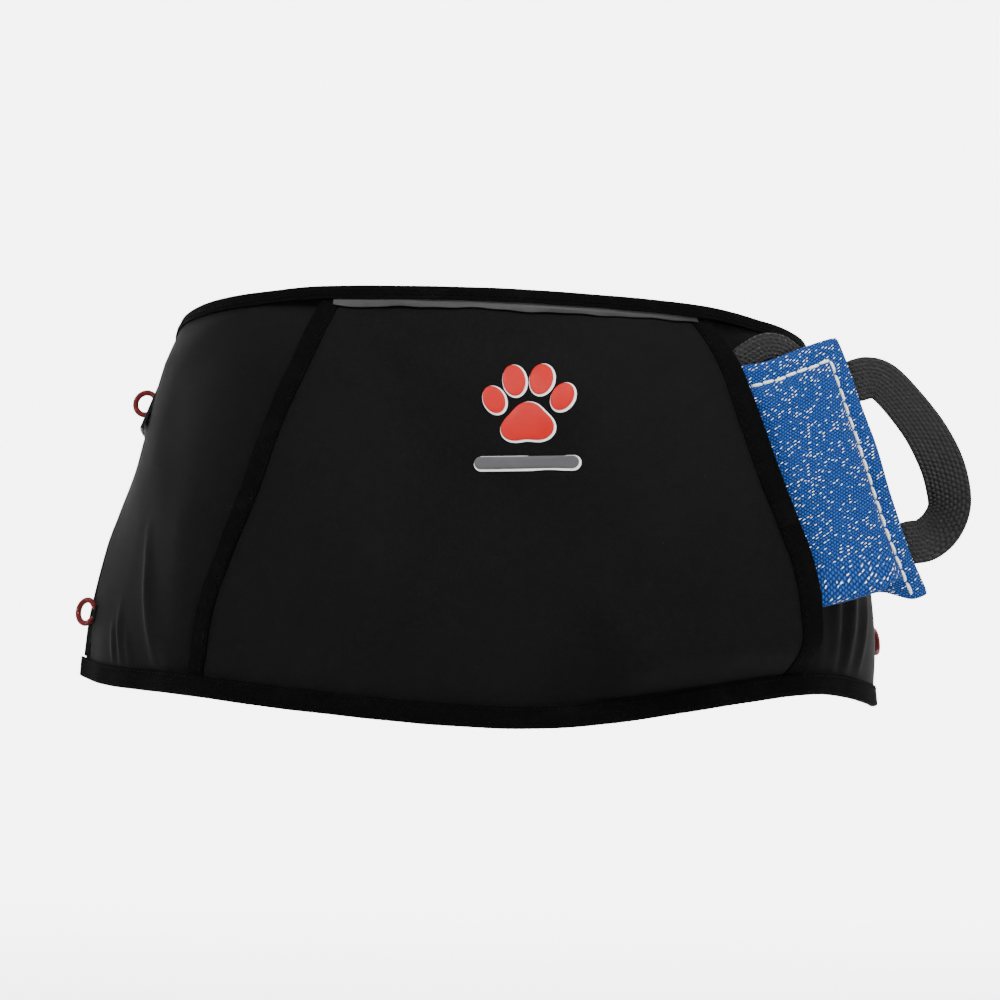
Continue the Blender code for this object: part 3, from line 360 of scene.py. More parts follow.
def blue_twill():
    """Coarse blue twill: rows of pebbly threads on the slant, white flecks lying along the rows."""
    look = Look("blue_fleck_twill", 0.85, 0.08, sheen=0.02)
    x, y = look.cloth()
    lean = math.radians(19)
    along = x * math.cos(lean) + y * math.sin(lean)
    across = y * math.cos(lean) - x * math.sin(lean)
    rows = across / (1.25 * MM) + look.noise(260, 2, 0.5).limits(0.3, 0.7, -0.22, 0.22)
    row = rows.math("FLOOR")

    def arch(value):
        """Rises and falls once over each whole step."""
        return (value.math("FRACT") * math.pi).sine()

    pebble = (arch(along / (1.75 * MM) + row * 0.41) * arch(rows)).math("POWER", 1.1)
    dashes = along / (2.3 * MM) + row * 0.63
    number = look.node("CombineXYZ", {0: dashes.math("FLOOR"), 1: row})
    luck = look.node("TexWhiteNoise", {"Vector": number}, "Value", noise_dimensions="2D")
    bands = ((along + across) * 1450).sine().limits(-1, 1, 0, 0.17)
    dash = arch(dashes).limits(0.5, 0.75) * arch(rows).limits(0.80, 0.98)
    fleck = (luck + bands).math("GREATER_THAN", 0.865) * dash
    shade, fibres = look.noise(38, 3, 0.55), look.noise(2600, 3, 0.7)
    tone = look.layers((0.0004, 0.0028, 0.016, 1), (pebble, (0.0095, 0.076, 0.335, 1)),
                       (shade.limits(0.3, 0.7, 0, 0.25), (0.005, 0.032, 0.15, 1)),
                       (fibres.limits(0.5, 0.8, 0, 0.25), (0.02, 0.09, 0.30, 1)),
                       (fleck, (0.93, 0.95, 0.98, 1)))
    return look.finished(tone, pebble + fleck * 0.6, 0.0009, 0.9)


def elastic_cord():
    """Braided red cord: diamonds of strands with pale and dark flecks."""
    look = Look("red_elastic_cord", 0.62, 0.12, sheen=0.02)
    x, y = look.cloth()
    strands = (x * 5200 + y * 4800).sine() * (x * 5200 - y * 4800).sine()
    braid, flecks = strands.limits(-1, 1), look.noise(1300, 1, 0.4)
    tone = look.layers((0.025, 0.0006, 0.001, 1), (braid, (0.11, 0.003, 0.0035, 1)),
                       (flecks.limits(0.68, 0.74, 0, 0.7), (0.42, 0.16, 0.15, 1)),
                       (flecks.limits(0.28, 0.34, 0.85, 0.0), (0.02, 0.006, 0.006, 1)))
    return look.finished(tone, braid, 0.0002, 0.8)


def thread(name, dark, light, roughness):
    look = Look(name, roughness, 0.03)
    x, y = look.cloth()
    twist = (x * 7000 + y * 3600).sine().limits(-1, 1)
    lit = twist * look.noise(3200, 2, 0.6).limits(0.3, 0.7, 0.7, 1.1)
    return look.finished(look.layers(dark, (lit, light)), twist, 0.00012, 0.7)


def rubber_print(name, colour, worn_colour):
    look = Look(name, 0.5, 0.10)
    grain, scuffs = look.noise(900, 3, 0.6), look.noise(140, 4, 0.65)
    tone = look.layers(colour, (scuffs.limits(0.52, 0.8, 0, 0.35), worn_colour))
    return look.finished(tone, grain, 0.00005, 0.5, scuffs.limits(0.3, 0.7, 0.42, 0.6))


def moulded_plastic():
    look = Look("black_acetal", 0.42, 0.2)
    grain, scuffs, flow = look.noise(1400, 2, 0.5), look.noise(70, 5, 0.7), look.noise(22, 2, 0.4)
    tone = look.layers(grey(0.0035), (flow.limits(0.3, 0.7), grey(0.0062)),
                       (scuffs.limits(0.6, 0.82, 0, 0.5), grey(0.02)))
    return look.finished(tone, grain, 0.00006, 0.6, scuffs.limits(0.35, 0.75, 0.34, 0.56))


def felt():
    look = Look("pad_filling_felt", 0.97, 0.05, sheen=0.05)
    fibres = look.noise(700, 5, 0.75)
    tone = look.layers((0.14, 0.10, 0.055, 1), (fibres.limits(0.3, 0.7), (0.28, 0.22, 0.14, 1)))
    return look.finished(tone, fibres, 0.0008, 0.8)


def glowing_pale_ground():
    """Pale backdrop that glows behind the pouch: painted light, an emission standing in for a lamp-lit
    studio rear wall, which also lights the pouch from behind.
    """
    look = Look("glowing_pale_ground", 0.9, 0.1)
    patches = look.noise(3, 2, 0.5).limits(0.3, 0.7)
    tone = look.layers((0.88, 0.88, 0.88, 1), (patches, (0.91, 0.91, 0.91, 1)))
    depth = look.node("SeparateXYZ", {0: look.place()}, 1)
    look.put(tone, look.surface["Base Color"])
    # Painted light: the bowl glows white, more strongly the further behind the pouch it lies, up to
    # REAR_GLOW.
    look.put((1, 1, 1, 1), look.surface["Emission Color"])
    look.put(depth.limits(0.1, 1.4, 0, REAR_GLOW), look.surface["Emission Strength"])
    return look.material


# Strength of the backdrop's painted glow behind the pouch.
REAR_GLOW = 4.4
CLOTH_LOOK, TAPE_LOOK, PIPING_LOOK = softshell(), binding_tape(), reflective_tape()
BELT_LOOK = webbing("black_belt_webbing", 0.0022, 0.0095, 2.4 * MM, 2.0 * MM)
HANDLE_LOOK = webbing("black_handle_webbing", 0.0015, 0.0105, 2.5 * MM, 1.9 * MM)
ELASTIC_LOOK = webbing("black_elastic_band", 0.0015, 0.006, 0.9 * MM, 1.2 * MM)
TWILL_LOOK, CORD_LOOK, PLASTIC_LOOK, FELT_LOOK = blue_twill(), elastic_cord(), moulded_plastic(), felt()
BLACK_THREAD = thread("black_thread", grey(0.0008), grey(0.0030), 0.9)
WHITE_THREAD = thread("white_thread", (0.40, 0.40, 0.38, 1), (0.72, 0.72, 0.70, 1), 0.8)
RED_PRINT = rubber_print("red_rubber_print", (0.27, 0.004, 0.003, 1), (0.31, 0.009, 0.006, 1))
GREY_PRINT = rubber_print("grey_rubber_print", (0.045, 0.045, 0.047, 1), (0.065, 0.065, 0.066, 1))
WHITE_PRINT = rubber_print("white_rubber_print", (0.55, 0.55, 0.55, 1), (0.42, 0.42, 0.42, 1))


# ---------------------------------------------------------------- mesh builders

def quads(rows, columns, start=0):
    index = start + np.arange(rows * columns).reshape(rows, columns)
    corners = [index[:-1, :-1], index[1:, :-1], index[1:, 1:], index[:-1, 1:]]
    return np.stack(corners, -1).reshape(-1, 4)


def grid_of(a, b):
    """Every pair of a value from a and a value from b."""
    return np.stack(np.meshgrid(a, b, indexing="ij"), -1)


def closed(rings):
    """Rings of points with the first point repeated at the end."""
    rings = np.asarray(rings, float)
    return np.concatenate([rings, rings[..., :1, :]], -2)


def mended(mesh, merge=0.0, outward=True):
    """Joins points closer than the merge distance, and turns the faces outwards."""
    work = bmesh.new()
    work.from_mesh(mesh)
    if merge:
        bmesh.ops.remove_doubles(work, verts=work.verts, dist=merge)
    if outward:
        bmesh.ops.recalc_face_normals(work, faces=work.faces)
    work.to_mesh(mesh)
    work.free()


def placed(name, data):
    made = bpy.data.objects.new(name, data)
    bpy.context.scene.collection.objects.link(made)
    return made


def piece(name, patches, look, body, slot, caps=(), sharp=50):
    """One closed mesh from grids of points, each with its grid of cloth places in metres."""
    patches = list(patches) + [(np.asarray(cap, float)[None], np.zeros(2)) for cap in caps]
    points, places, faces, start = [], [], [], 0
    for grid, uv in patches:
        rows, columns = grid.shape[:2]
        points.append(grid.reshape(-1, 3))
        places.append(np.broadcast_to(uv, (rows, columns, 2)).reshape(-1, 2))
        if rows > 1:
            faces += quads(rows, columns, start).tolist()
        else:
            faces.append(list(range(start, start + columns)))
        start += rows * columns
    mesh = bpy.data.meshes.new(name)
    mesh.from_pydata(np.concatenate(points).tolist(), [], faces)
    corner = np.zeros(len(mesh.loops), np.int32)
    mesh.loops.foreach_get("vertex_index", corner)
    layer = mesh.uv_layers.new(name="cloth")
    layer.data.foreach_set("uv", np.concatenate(places)[corner].astype(np.float32).ravel())
    mended(mesh, 2e-6)
    mesh.shade_smooth()
    mesh.set_sharp_from_angle(angle=math.radians(sharp))
    mesh.materials.append(look)
    made = placed(name, mesh)
    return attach(made, body)


def slab(name, outer, inner, uv, look, body, slot, **more):
    """Closed cloth between two grids, joined round the rim."""
    patches = [(outer, uv), (inner, uv)]
    for axis in (0, 1):
        for end in ([0], [-1]):
            rim = [grid.take(end, axis) for grid in (outer, inner, uv, uv)]
            patches.append((np.concatenate(rim[:2], axis), np.concatenate(rim[2:], axis)))
    return piece(name, patches, look, body, slot, **more)


def between(grid, rows, columns, a, b):
    """A grid's value at a place between its rows and its columns."""
    a, b = (np.interp(at, row, np.arange(len(row))) for at, row in ((a, rows), (b, columns)))
    i, j = (np.clip(at.astype(int), 0, len(row) - 2) for at, row in ((a, rows), (b, columns)))
    p, q = a - i, b - j
    return (grid[i, j] * (1 - p) * (1 - q) + grid[i + 1, j] * p * (1 - q)
            + grid[i, j + 1] * (1 - p) * q + grid[i + 1, j + 1] * p * q)


def lengths(points):
    """Distance gone along a row of points."""
    steps = np.linalg.norm(np.diff(points, axis=0), axis=-1)
    return np.concatenate([[0], np.cumsum(steps)])


def smooth_path(points, count):
    """Even points along a Catmull-Rom curve; columns past the third are carried along."""
    points = np.asarray(points, float)
    ends = np.vstack([2 * points[0] - points[1], points, 2 * points[-1] - points[-2]])
    dense = []
    for i in range(len(points) - 1):
        a, b, c, d = ends[i:i + 4]
        for t in np.linspace(0, 1, 16, endpoint=False):
            dense.append(0.5 * (2 * b + (c - a) * t + (2 * a - 5 * b + 4 * c - d) * t * t
                                + (3 * b - a - 3 * c + d) * t ** 3))
    dense = np.array(dense + [points[-1]])
    gone = lengths(dense[:, :3])
    wanted = np.linspace(0, gone[-1], count)
    return np.stack([np.interp(wanted, gone, column) for column in dense.T], -1)


def strap_ring(width, thick):
    """Cross-section of a woven strap: flat faces and rounded selvedges."""
    ring = []
    for end in (1, -1):
        middle = end * (width / 2 - thick / 2)
        for angle in np.radians(np.linspace(-75, 75, 6)):
            ring.append((middle + end * thick / 2 * math.cos(angle), end * thick / 2 * math.sin(angle)))
        for share in (0.6, 0.2, -0.2, -0.6):
            ring.append((end * share * (width / 2 - thick), end * thick / 2))
    return np.array(ring)


def strap(name, path, across, width, thick, look, body, rib, relief):
    """Ribbed woven strap along a path, with the direction across it at each point."""
    path, across = np.asarray(path, float), np.asarray(across, float)
    tangents = unit(np.gradient(path, axis=0))
    across = unit(across - tangents * (across * tangents).sum(1, keepdims=True))
    through = np.cross(tangents, across)
    ring, gone = strap_ring(width, thick), lengths(path)
    thicker = 1 + relief * np.sin(2 * math.pi * gone / rib) / (thick / 2)
    sections = (path[:, None] + ring[:, :1] * across[:, None]
                + ring[:, 1:] * thicker[:, None, None] * through[:, None])
    uv = grid_of(gone, np.append(ring[:, 0], ring[0, 0]))
    return piece(name, [(closed(sections), uv)], look, body, "black_webbing",
                 caps=(sections[0], sections[-1]), sharp=60)


STITCH_PROFILE = ((-1.0, 0.0), (-0.94, 0.5), (-0.78, 0.85), (-0.4, 1.0), (0.0, 1.0), (0.4, 1.0),
                  (0.78, 0.85), (0.94, 0.5), (1.0, 0.0))
STITCH_PITCH, STITCH_LENGTH = 3.1 * MM, 2.3 * MM


def stitches(name, places, normals, length, radius, look=BLACK_THREAD, body="root",
             slot="black_binding_tape", sunk=0.35):
    """Thread stitches, each between two places, with a normal that points out of the cloth."""
    turns = np.linspace(0, 2 * math.pi, 8)
    t, share = np.array(STITCH_PROFILE).T
    uv, patches = grid_of(t * length / 2, turns * radius), []
    for (start, end), normal in zip(places, normals):
        half = (end - start) / 2
        along = unit(half)
        side = np.cross(normal, along)
        up = np.cross(along, side)
        centres = (start + end) / 2 + np.outer(t, half) + np.outer(radius * (1 - sunk - 0.75 * t ** 4), up)
        ring = np.outer(np.cos(turns), side) + np.outer(np.sin(turns), up)
        patches.append((centres[:, None] + (radius * share)[:, None, None] * ring, uv))
    piece(name, patches, look, body, slot, sharp=80)


def stitch_row(name, point_at, normal_at, start, end, radius):
    """A row of stitches; point_at and normal_at take a distance along the row."""
    count = int(round((end - start) / STITCH_PITCH))
    places, normals = [], []
    for k in range(count):
        middle = start + (k + 0.5) * (end - start) / count
        places.append([point_at(middle + half) for half in (-STITCH_LENGTH / 2, STITCH_LENGTH / 2)])
        normals.append(normal_at(middle))
    stitches(name, places, normals, STITCH_LENGTH, radius)


# ---------------------------------------------------------------- lifts read from the frame

PROBE, RIDGE_TALL = 0.05, 0.18


def outer_lift(node, s, v):
    """Lift of a CAD node's outer face over the body; NaN beside it."""
    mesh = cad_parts[node].data
    mesh.calc_loop_triangles()
    tree = BVHTree.FromPolygons([v.co[:] for v in mesh.vertices],
                                [t.vertices[:] for t in mesh.loop_triangles])
    points, normals = skin(s, v), skin_normal(s, v)
    lifts = np.full(s.shape, np.nan)
    for place in np.ndindex(s.shape):
        start = Vector(points[place] + normals[place] * PROBE)
        _, _, _, distance = tree.ray_cast(start, Vector(-normals[place]), PROBE + 0.004)
        if distance is not None:
            lifts[place] = PROBE - distance
    return lifts


def filled(values):
    """NaN at the rim takes the nearest known value, row by row and then column by column."""
    values = values.copy()
    for grid in (values, values.T):
        for row in grid:
            known = np.flatnonzero(~np.isnan(row))
            if len(known):
                row[:] = np.interp(np.arange(len(row)), known, row[known])
    return values


def blurred(values, rounds, held):
    """Values evened out with their neighbours, but for the held ones."""
    keep = values.copy()
    for _ in range(rounds):
        edged = np.pad(values, 1, mode="edge")
        values = (edged[1:-1, 1:-1] * 2 + edged[2:, 1:-1] + edged[:-2, 1:-1]
                  + edged[1:-1, 2:] + edged[1:-1, :-2]) / 6
        values = np.where(held, keep, values)
    return values


def ridge(s, v, start, end, width, rise):
    """A soft fold from one (millimetres across, height share) place to another."""
    a = np.array([start[0] * MM, start[1] * RIDGE_TALL])
    b = np.array([end[0] * MM, end[1] * RIDGE_TALL])
    x, y = s - a[0], v * RIDGE_TALL - a[1]
    d = b - a
    t = np.clip((x * d[0] + y * d[1]) / (d @ d), 0, 1)
    off = np.hypot(x - t * d[0], y - t * d[1]) / (width * MM)
    return rise * MM * np.exp(-off * off) * np.sin(math.pi * np.clip(t, 0.04, 0.96)) ** 0.5


def sampler(shares, rows, lifts):
    """Lift of the centre panel's outer face at any distance and height share inside its grid."""
    def at(s, v):
        s, v = np.broadcast_arrays(np.asarray(s, float), np.asarray(v, float))
        edge = np.where(s < 0, centre_half(v, -1), centre_half(v, 1))
        return between(lifts, shares, rows, s / edge, v)
    return at


def area_of(points):
    across = np.linalg.norm(np.diff(points, axis=0), axis=-1)[:, :-1]
    down = np.linalg.norm(np.diff(points, axis=1), axis=-1)[:-1]
    return float((across * down).sum())


def cloth_panel(name, node, s, v, lifts):
    """Stretched cloth with its inner face at these lifts; the area of its middle surface is worked out but
    not used.
    """
    uv = np.stack([s, v * PANEL_TALL], -1)
    made = slab(name, wrap(s, v, lifts + CLOTH), wrap(s, v, lifts), uv, CLOTH_LOOK, "root",
                "black_softshell")
    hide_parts(node)
    area = area_of(wrap(s, v, lifts + CLOTH / 2))


def band_rows(count):
    """Height shares of a panel's rows, with a row at each band's edge."""
    top, hem = (WAIST_BAND + MM) / PANEL_TALL, 1 - (HEM_BAND + MM) / PANEL_TALL
    return np.concatenate([[0, top / 2], np.linspace(top, hem, count), [(1 + hem) / 2, 1]])


# ---------------------------------------------------------------- apron cloth

def apron_base():
    """The back cloth, flat against the body."""
    share, v = np.meshgrid(np.linspace(-1, 1, 150), np.linspace(0, 1, 60), indexing="ij")
    cloth_panel("apron_base", "base_panel", share * rear_edge(v), v, 0)


def centre_panel():
    """The centre pocket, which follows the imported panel's bulge; gives its outer face's lift."""
    share, v = np.meshgrid(np.linspace(-1, 1, 150), band_rows(84), indexing="ij")
    s = centre_edge(share, v)
    sampled = share * (centre_half(v) - 0.3 * MM)
    cad = filled(outer_lift("centre_pocket_panel", sampled, np.clip(v, 0.004, 0.996))) - CLOTH
    held = np.zeros(s.shape, bool)
    held[:, :3] = held[:, -3:] = True
    cad[held] = CENTRE_LIFT
    lifts = np.maximum(blurred(cad, 160, held), cad - 1.6 * MM)
    lifts = blurred(lifts, 30, held)
    hem_tents = [((-30, 0.94), (-18, 0.78), 9, 1.0), ((2, 0.95), (8, 0.80), 8, 1.1),
                 ((26, 0.95), (22, 0.76), 10, 1.3), ((52, 0.95), (64, 0.80), 8, 0.9),
                 ((-70, 0.93), (-52, 0.72), 12, 0.9), ((88, 0.95), (96, 0.84), 7, 0.8),
                 ((-12, 0.10), (-20, 0.34), 12, 0.5), ((44, 0.09), (52, 0.26), 9, 0.7),
                 ((70, 0.08), (66, 0.2), 6, 0.6), ((-78, 0.05), (-28, 0.24), 8, 1.0),
                 ((-60, 0.05), (-10, 0.18), 6, 0.6), ((-84, 0.16), (-52, 0.40), 9, 0.9),
                 ((-108, 0.62), (-70, 0.50), 12, 0.8), ((-116, 0.80), (-84, 0.74), 8, 0.7)]
    for start, end, width, rise in hem_tents:
        lifts += ridge(s, v, start, end, width, rise)
    cloth_panel("centre_pocket", "centre_pocket_panel", s, v, lifts)
    return sampler(share[:, 0], v[0], lifts + CLOTH)


def side_panel(side):
    """A side pocket with its folds; gives the rows and lifts of its rear edge."""
    name = SIDE_NAMES[side]
    share, v = np.meshgrid(np.linspace(0, 1, 90), band_rows(70), indexing="ij")
    front, rear = centre_half(v, side) - SIDE_UNDERLAP, rear_edge(v) - SIDE_EDGE_INSET
    s = side * (front + (rear - front) * share)
    inset = side * 0.4 * MM
    sampled = s + np.where(share < 0.5, inset, -inset)
    cad = filled(outer_lift(name + "_side_panel", sampled, np.clip(v, 0.004, 0.996))) - CLOTH
    held = np.zeros(s.shape, bool)
    held[:, :3] = held[:, -3:] = True
    held[0] = True
    cad[held] = SIDE_LIFT
    lifts = blurred(cad, 50, held)
    slack = {-1: 0.18, 1: 0.75}[side]
    calm = 1 - (1 - slack) * ease((share - 0.25) / 0.4)
    lifts = SIDE_LIFT + (lifts - SIDE_LIFT) * calm
    under = np.abs(s) < centre_half(v, side) + 3 * MM
    folds = {-1: [((-182, 0.60), (-168, 0.95), 3.6, 2.1), ((-176, 0.74), (-158, 0.95), 5.0, 1.0),
                  ((-204, 0.80), (-197, 0.95), 3.0, 1.6), ((-210, 0.84), (-206, 0.95), 2.6, 1.3),
                  ((-195, 0.86), (-189, 0.95), 2.6, 0.9), ((-150, 0.50), (-150, 0.94), 10, 1.2),
                  ((-172, 0.10), (-128, 0.05), 5.0, 0.8), ((-176, 0.16), (-140, 0.10), 6.0, 0.7),
                  ((-186, 0.34), (-160, 0.70), 12, 0.9)],
             1: [((156, 0.60), (162, 0.94), 5, 2.3), ((176, 0.62), (172, 0.94), 5, 2.6),
                 ((194, 0.70), (184, 0.945), 4.5, 2.0), ((167, 0.74), (167, 0.945), 3.4, -1.1),
                 ((148, 0.74), (152, 0.94), 4, 1.4)]}[side]
    for start, end, width, rise in folds:
        lifts += ridge(s, v, start, end, width, rise) * ~under
    lifts = np.where(held, SIDE_LIFT, np.maximum(lifts, SIDE_LIFT - 0.2 * MM))
    cloth_panel(name + "_side_pocket", name + "_side_panel", s, v, lifts)
    return v[-1], lifts[-1]


# ---------------------------------------------------------------- folded tapes

def fold_line(leg_in, leg_out, inner, outer, lip):
    """Centre line of a tape folded over an edge: (distance in from the edge, lift)."""
    middle, half = (inner + outer) / 2, (outer - inner) / 2
    line = [(share * leg_in, inner) for share in (1, 0.8, 0.6, 0.4, 0.2, 0.06)]
    line += [(-lip * math.cos(t), middle + half * math.sin(t))
             for t in np.linspace(-math.pi / 2, math.pi / 2, 9)]
    return np.array(line + [(share * leg_out, outer) for share in (0.06, 0.2, 0.4, 0.6, 0.8, 1)])


def thickened(line, thick):
    """Both faces of a strip drawn as a line."""
    along = unit(np.gradient(line, axis=0))
    normal = np.stack([-along[:, 1], along[:, 0]], -1)
    return line + normal * thick / 2, line - normal * thick / 2


def tape(name, stations, lines, place, node, gone):
    """Folded tape through one fold line per station; place turns them into points."""
    faces = [thickened(line, TAPE) for line in lines]
    sides = [np.array([place(station, face[k]) for station, face in zip(stations, faces)]) for k in (0, 1)]
    uv = grid_of(gone, lengths(lines[len(lines) // 2]))
    made = slab(name, sides[0], sides[1], uv, TAPE_LOOK, "root", "black_binding_tape")
    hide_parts(node)


def puckers(gone, seed):
    """Slight swelling of a tape between its stitches and along its length."""
    return (0.10 * math.sin(2 * math.pi * gone / STITCH_PITCH) + 0.12 * math.sin(93 * gone + seed)
            + 0.10 * math.sin(217 * gone + 2 * seed)) * MM


def edge_tape(name, node, top, width):
    """Tape round the whole top edge or hem, with its row of stitches."""
    edge_v, sign = (0.0, 1) if top else (1.0, -1)
    reach = float(rear_edge(edge_v))
    shares = np.linspace(-1, 1, 420)
    tuck = 0.8 * MM if top else 0.0
    inset = width - 1.3 * MM

    def row_at(s, inwards):
        return edge_v + sign * inwards / tall_at(s)

    def outer_at(s):
        over = ease((float(centre_half(edge_v)) + 36 * MM - np.abs(s)) / (40 * MM))
        return BAND_OVER_SIDE + (BAND_OVER_CENTRE - BAND_OVER_SIDE) * over + TAPE / 2

    def place(share, face):
        v = row_at(share * reach, face[:, 0] + tuck)
        return wrap(share * rear_edge(np.clip(v, -0.02, 1.02)), v, face[:, 1])

    def point_at(s):
        v = row_at(s, inset)
        return wrap(s / reach * rear_edge(v), v, outer_at(s) + TAPE / 2)

    def normal_at(s):
        return skin_normal(s, row_at(s, inset))

    lines = []
    for s in shares * reach:
        swell = puckers(s, 1.7 if top else 4.2)
        lines.append(fold_line(width, width + 0.5 * swell, TAPE_UNDER, float(outer_at(s)) + 0.4 * swell,
                               0.9 * MM + 0.4 * swell))
    tape(name, shares, lines, place, node, shares * reach)
    stitch_row(name + "_stitches", point_at, normal_at, -reach + 4 * MM, reach - 4 * MM, 0.26 * MM)


def rear_tape(side):
    name = SIDE_NAMES[side] + "_rear_binding"
    start, stop = (WAIST_BAND + 0.4 * MM) / REAR_TALL, 1 - (HEM_BAND + 0.4 * MM) / REAR_TALL
    rows = np.linspace(start, stop, 110)
    inset = REAR_TAPE_WIDTH - 1.2 * MM

    def place(v, face):
        return wrap(side * (rear_edge(v) - face[:, 0]), v, face[:, 1])

    def point_at(gone):
        v = gone / REAR_TALL
        return wrap(side * (rear_edge(v) - inset), v, REAR_TAPE_LIFT + TAPE)

    def normal_at(gone):
        v = gone / REAR_TALL
        return skin_normal(side * (rear_edge(v) - inset), v)

    lines = []
    for v in rows:
        swell = puckers(v * REAR_TALL, 3.3 + side)
        lines.append(fold_line(REAR_TAPE_WIDTH, REAR_TAPE_WIDTH, TAPE_UNDER, REAR_TAPE_LIFT + TAPE / 2,
                               0.8 * MM + 0.5 * swell))
    tape(name + "_tape", rows, lines, place, name, rows * REAR_TALL)
    stitch_row(name + "_stitches", point_at, normal_at, start * REAR_TALL + MM, stop * REAR_TALL - MM,
               0.25 * MM)


def opening_tape(side, outer_at):
    """Tape over a slanted mouth of the centre pocket, held by a zigzag row."""
    name = SIDE_NAMES[side] + "_opening_binding"
    rows = np.linspace(0.002, 0.998, 190)
    width = STRIP_WIDTH[side]

    def lift_at(v, inset):
        return outer_at(side * (centre_half(v, side) - np.clip(inset, 0.3 * MM, 1)), v)

    def place(v, face):
        inset = face[:, 0]
        return wrap(side * (centre_half(v, side) - inset), v, lift_at(v, inset) + face[:, 1])

    lines = []
    for v in rows:
        swell = puckers(v * PANEL_TALL, 6.1 + side)
        lines.append(fold_line(0.8 * width, width + 0.8 * swell, -CLOTH - 0.55 * MM,
                               0.55 * MM, 0.9 * MM + 0.6 * swell))
    tape(name + "_tape", rows, lines, place, name, rows * PANEL_TALL)
    top, foot = (WAIST_BAND + 1.5 * MM) / PANEL_TALL, 1 - (HEM_BAND + 2 * MM) / PANEL_TALL
    places, normals = [], []
    count = int((foot - top) * PANEL_TALL / ZIGZAG_PITCH)
    for k in range(count):
        ends = []
        for m in (k, k + 1):
            v = top + (foot - top) * m / count
            inset = width - 1.6 * MM + (ZIGZAG_HALF_WIDE if m % 2 else -ZIGZAG_HALF_WIDE)
            ends.append(wrap(side * (centre_half(v, side) - inset), v, lift_at(v, inset) + 0.9 * MM))
        places.append((ends[0] * 0.93 + ends[1] * 0.07, ends[0] * 0.07 + ends[1] * 0.93))
        normals.append(skin_normal(side * (centre_half(v, side) - inset), v))
    stitches(name + "_stitches", places, normals, 2.0 * MM, 0.22 * MM)


def piping(outer_at):
    """Reflective strip under the waist tape; its free lower edge lifts and wanders."""
    left, right = (float(centre_half(0.04, side)) - STRIP_WIDTH[side] + 3.0 * MM for side in (-1, 1))
    s, t = np.meshgrid(np.linspace(-left, right, 190), np.linspace(0, 1, 9), indexing="ij")
    wave = (0.45 * np.sin(71 * s + 0.5) + 0.30 * np.sin(163 * s + 1.1) + 0.15 * np.sin(391 * s)) * MM
    ends = 1.3 * MM * ease(1 - np.minimum(s + left, right - s) / (14 * MM))
    start, stop = WAIST_BAND - 1.0 * MM - PIPING_HIDDEN, WAIST_BAND - 1.0 * MM + PIPING_SHOWS + wave - ends
    v = (start + (stop - start) * t) / PANEL_TALL
    curl = 0.35 * MM * t ** 3 * (1 + 0.5 * np.sin(97 * s))
    low = outer_at(s, v) + 0.35 * MM + curl
    uv = np.stack([s, v * PANEL_TALL], -1)
    made = slab("reflective_strip", wrap(s, v, low + TAPE), wrap(s, v, low), uv, PIPING_LOOK,
                "root", "grey_reflective_tape")
    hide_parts("reflective_piping")


# ---------------------------------------------------------------- emblem

TOES = [(-13.6, 2.6, 4.4, 6.2, 24), (-5.4, 11.0, 4.7, 7.0, 8), (5.6, 11.0, 4.7, 7.0, -8),
        (13.8, 2.6, 4.4, 6.2, -24)]
BAR_DOWN, BAR_HALF_LENGTH, BAR_HALF_HEIGHT = 24.5, 21.0, 2.6
EDGE_PROFILE = ((1.0, 0.0), (1.0, 0.55), (0.985, 0.85), (0.95, 1.0), (0.6, 1.06), (0.25, 1.08))


def toe_outline(x, y, half_x, half_y, turn):
    a = np.linspace(0, 2 * math.pi, 48, endpoint=False)
    px, py = half_x * np.cos(a), half_y * np.sin(a)
    c, w = math.cos(math.radians(turn)), math.sin(math.radians(turn))
    return np.stack([x + px * c - py * w, y + px * w + py * c], -1)


def palm_outline():
    a = np.linspace(0, 2 * math.pi, 72, endpoint=False)
    reach = 9.4 + 1.3 * np.cos(3 * (a + math.pi / 6)) + 0.8 * np.cos(2 * a)
    return np.stack([reach * np.cos(a), -8.0 + 0.92 * reach * np.sin(a)], -1)


def bar_outline():
    a = np.linspace(0, 2 * math.pi, 72, endpoint=False)
    straight = BAR_HALF_LENGTH - BAR_HALF_HEIGHT
    x = np.sign(np.cos(a)) * straight + BAR_HALF_HEIGHT * np.cos(a)
    return np.stack([x, -BAR_DOWN + BAR_HALF_HEIGHT * np.sin(a)], -1)


def grown(outline, by):
    """An outline moved outwards by that many millimetres."""
    ahead = np.roll(outline, -1, 0) - np.roll(outline, 1, 0)
    out = np.stack([ahead[:, 1], -ahead[:, 0]], -1)
    return outline + by * unit(out)


def printed(name, outline, outer_at, low, thick, look, slot, node=None):
    """Low domed patch with a rounded rim, lying on the centre panel."""
    centre = outline.mean(0)
    tall = PANEL_TALL / MM
    rings = []
    for share, rise in EDGE_PROFILE:
        flat = centre + (outline - centre) * share
        s, v = PAW_CENTRE_S + flat[:, 0] * MM, PAW_CENTRE_V - flat[:, 1] / tall
        ring = wrap(s, v, outer_at(s, v) + low + thick * rise)
        rings.append(ring)
    made = piece(name, [(closed(rings), np.zeros(2))], look, "root", slot, caps=(rings[0], rings[-1]),
                 sharp=40)
    if node:
        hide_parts(node)


def emblem(outer_at):
    shapes = [(f"paw_toe_{n}", toe_outline(*toe), RED_PRINT, "red_rubber_print")
              for n, toe in enumerate(TOES, 1)]
    shapes.append(("paw_palm", palm_outline(), RED_PRINT, "red_rubber_print"))
    shapes.append(("badge_bar", bar_outline(), GREY_PRINT, "grey_rubber_print"))
    for name, outline, look, slot in shapes:
        shadow = grown(outline, 0.55) + np.array([0.45, -0.35])
        printed(name + "_edge", shadow, outer_at, 0.10 * MM, 0.28 * MM, WHITE_PRINT, None)
        printed(name + "_print", outline, outer_at, 0.34 * MM, 0.55 * MM, look, slot, name)


# ---------------------------------------------------------------- cord loops

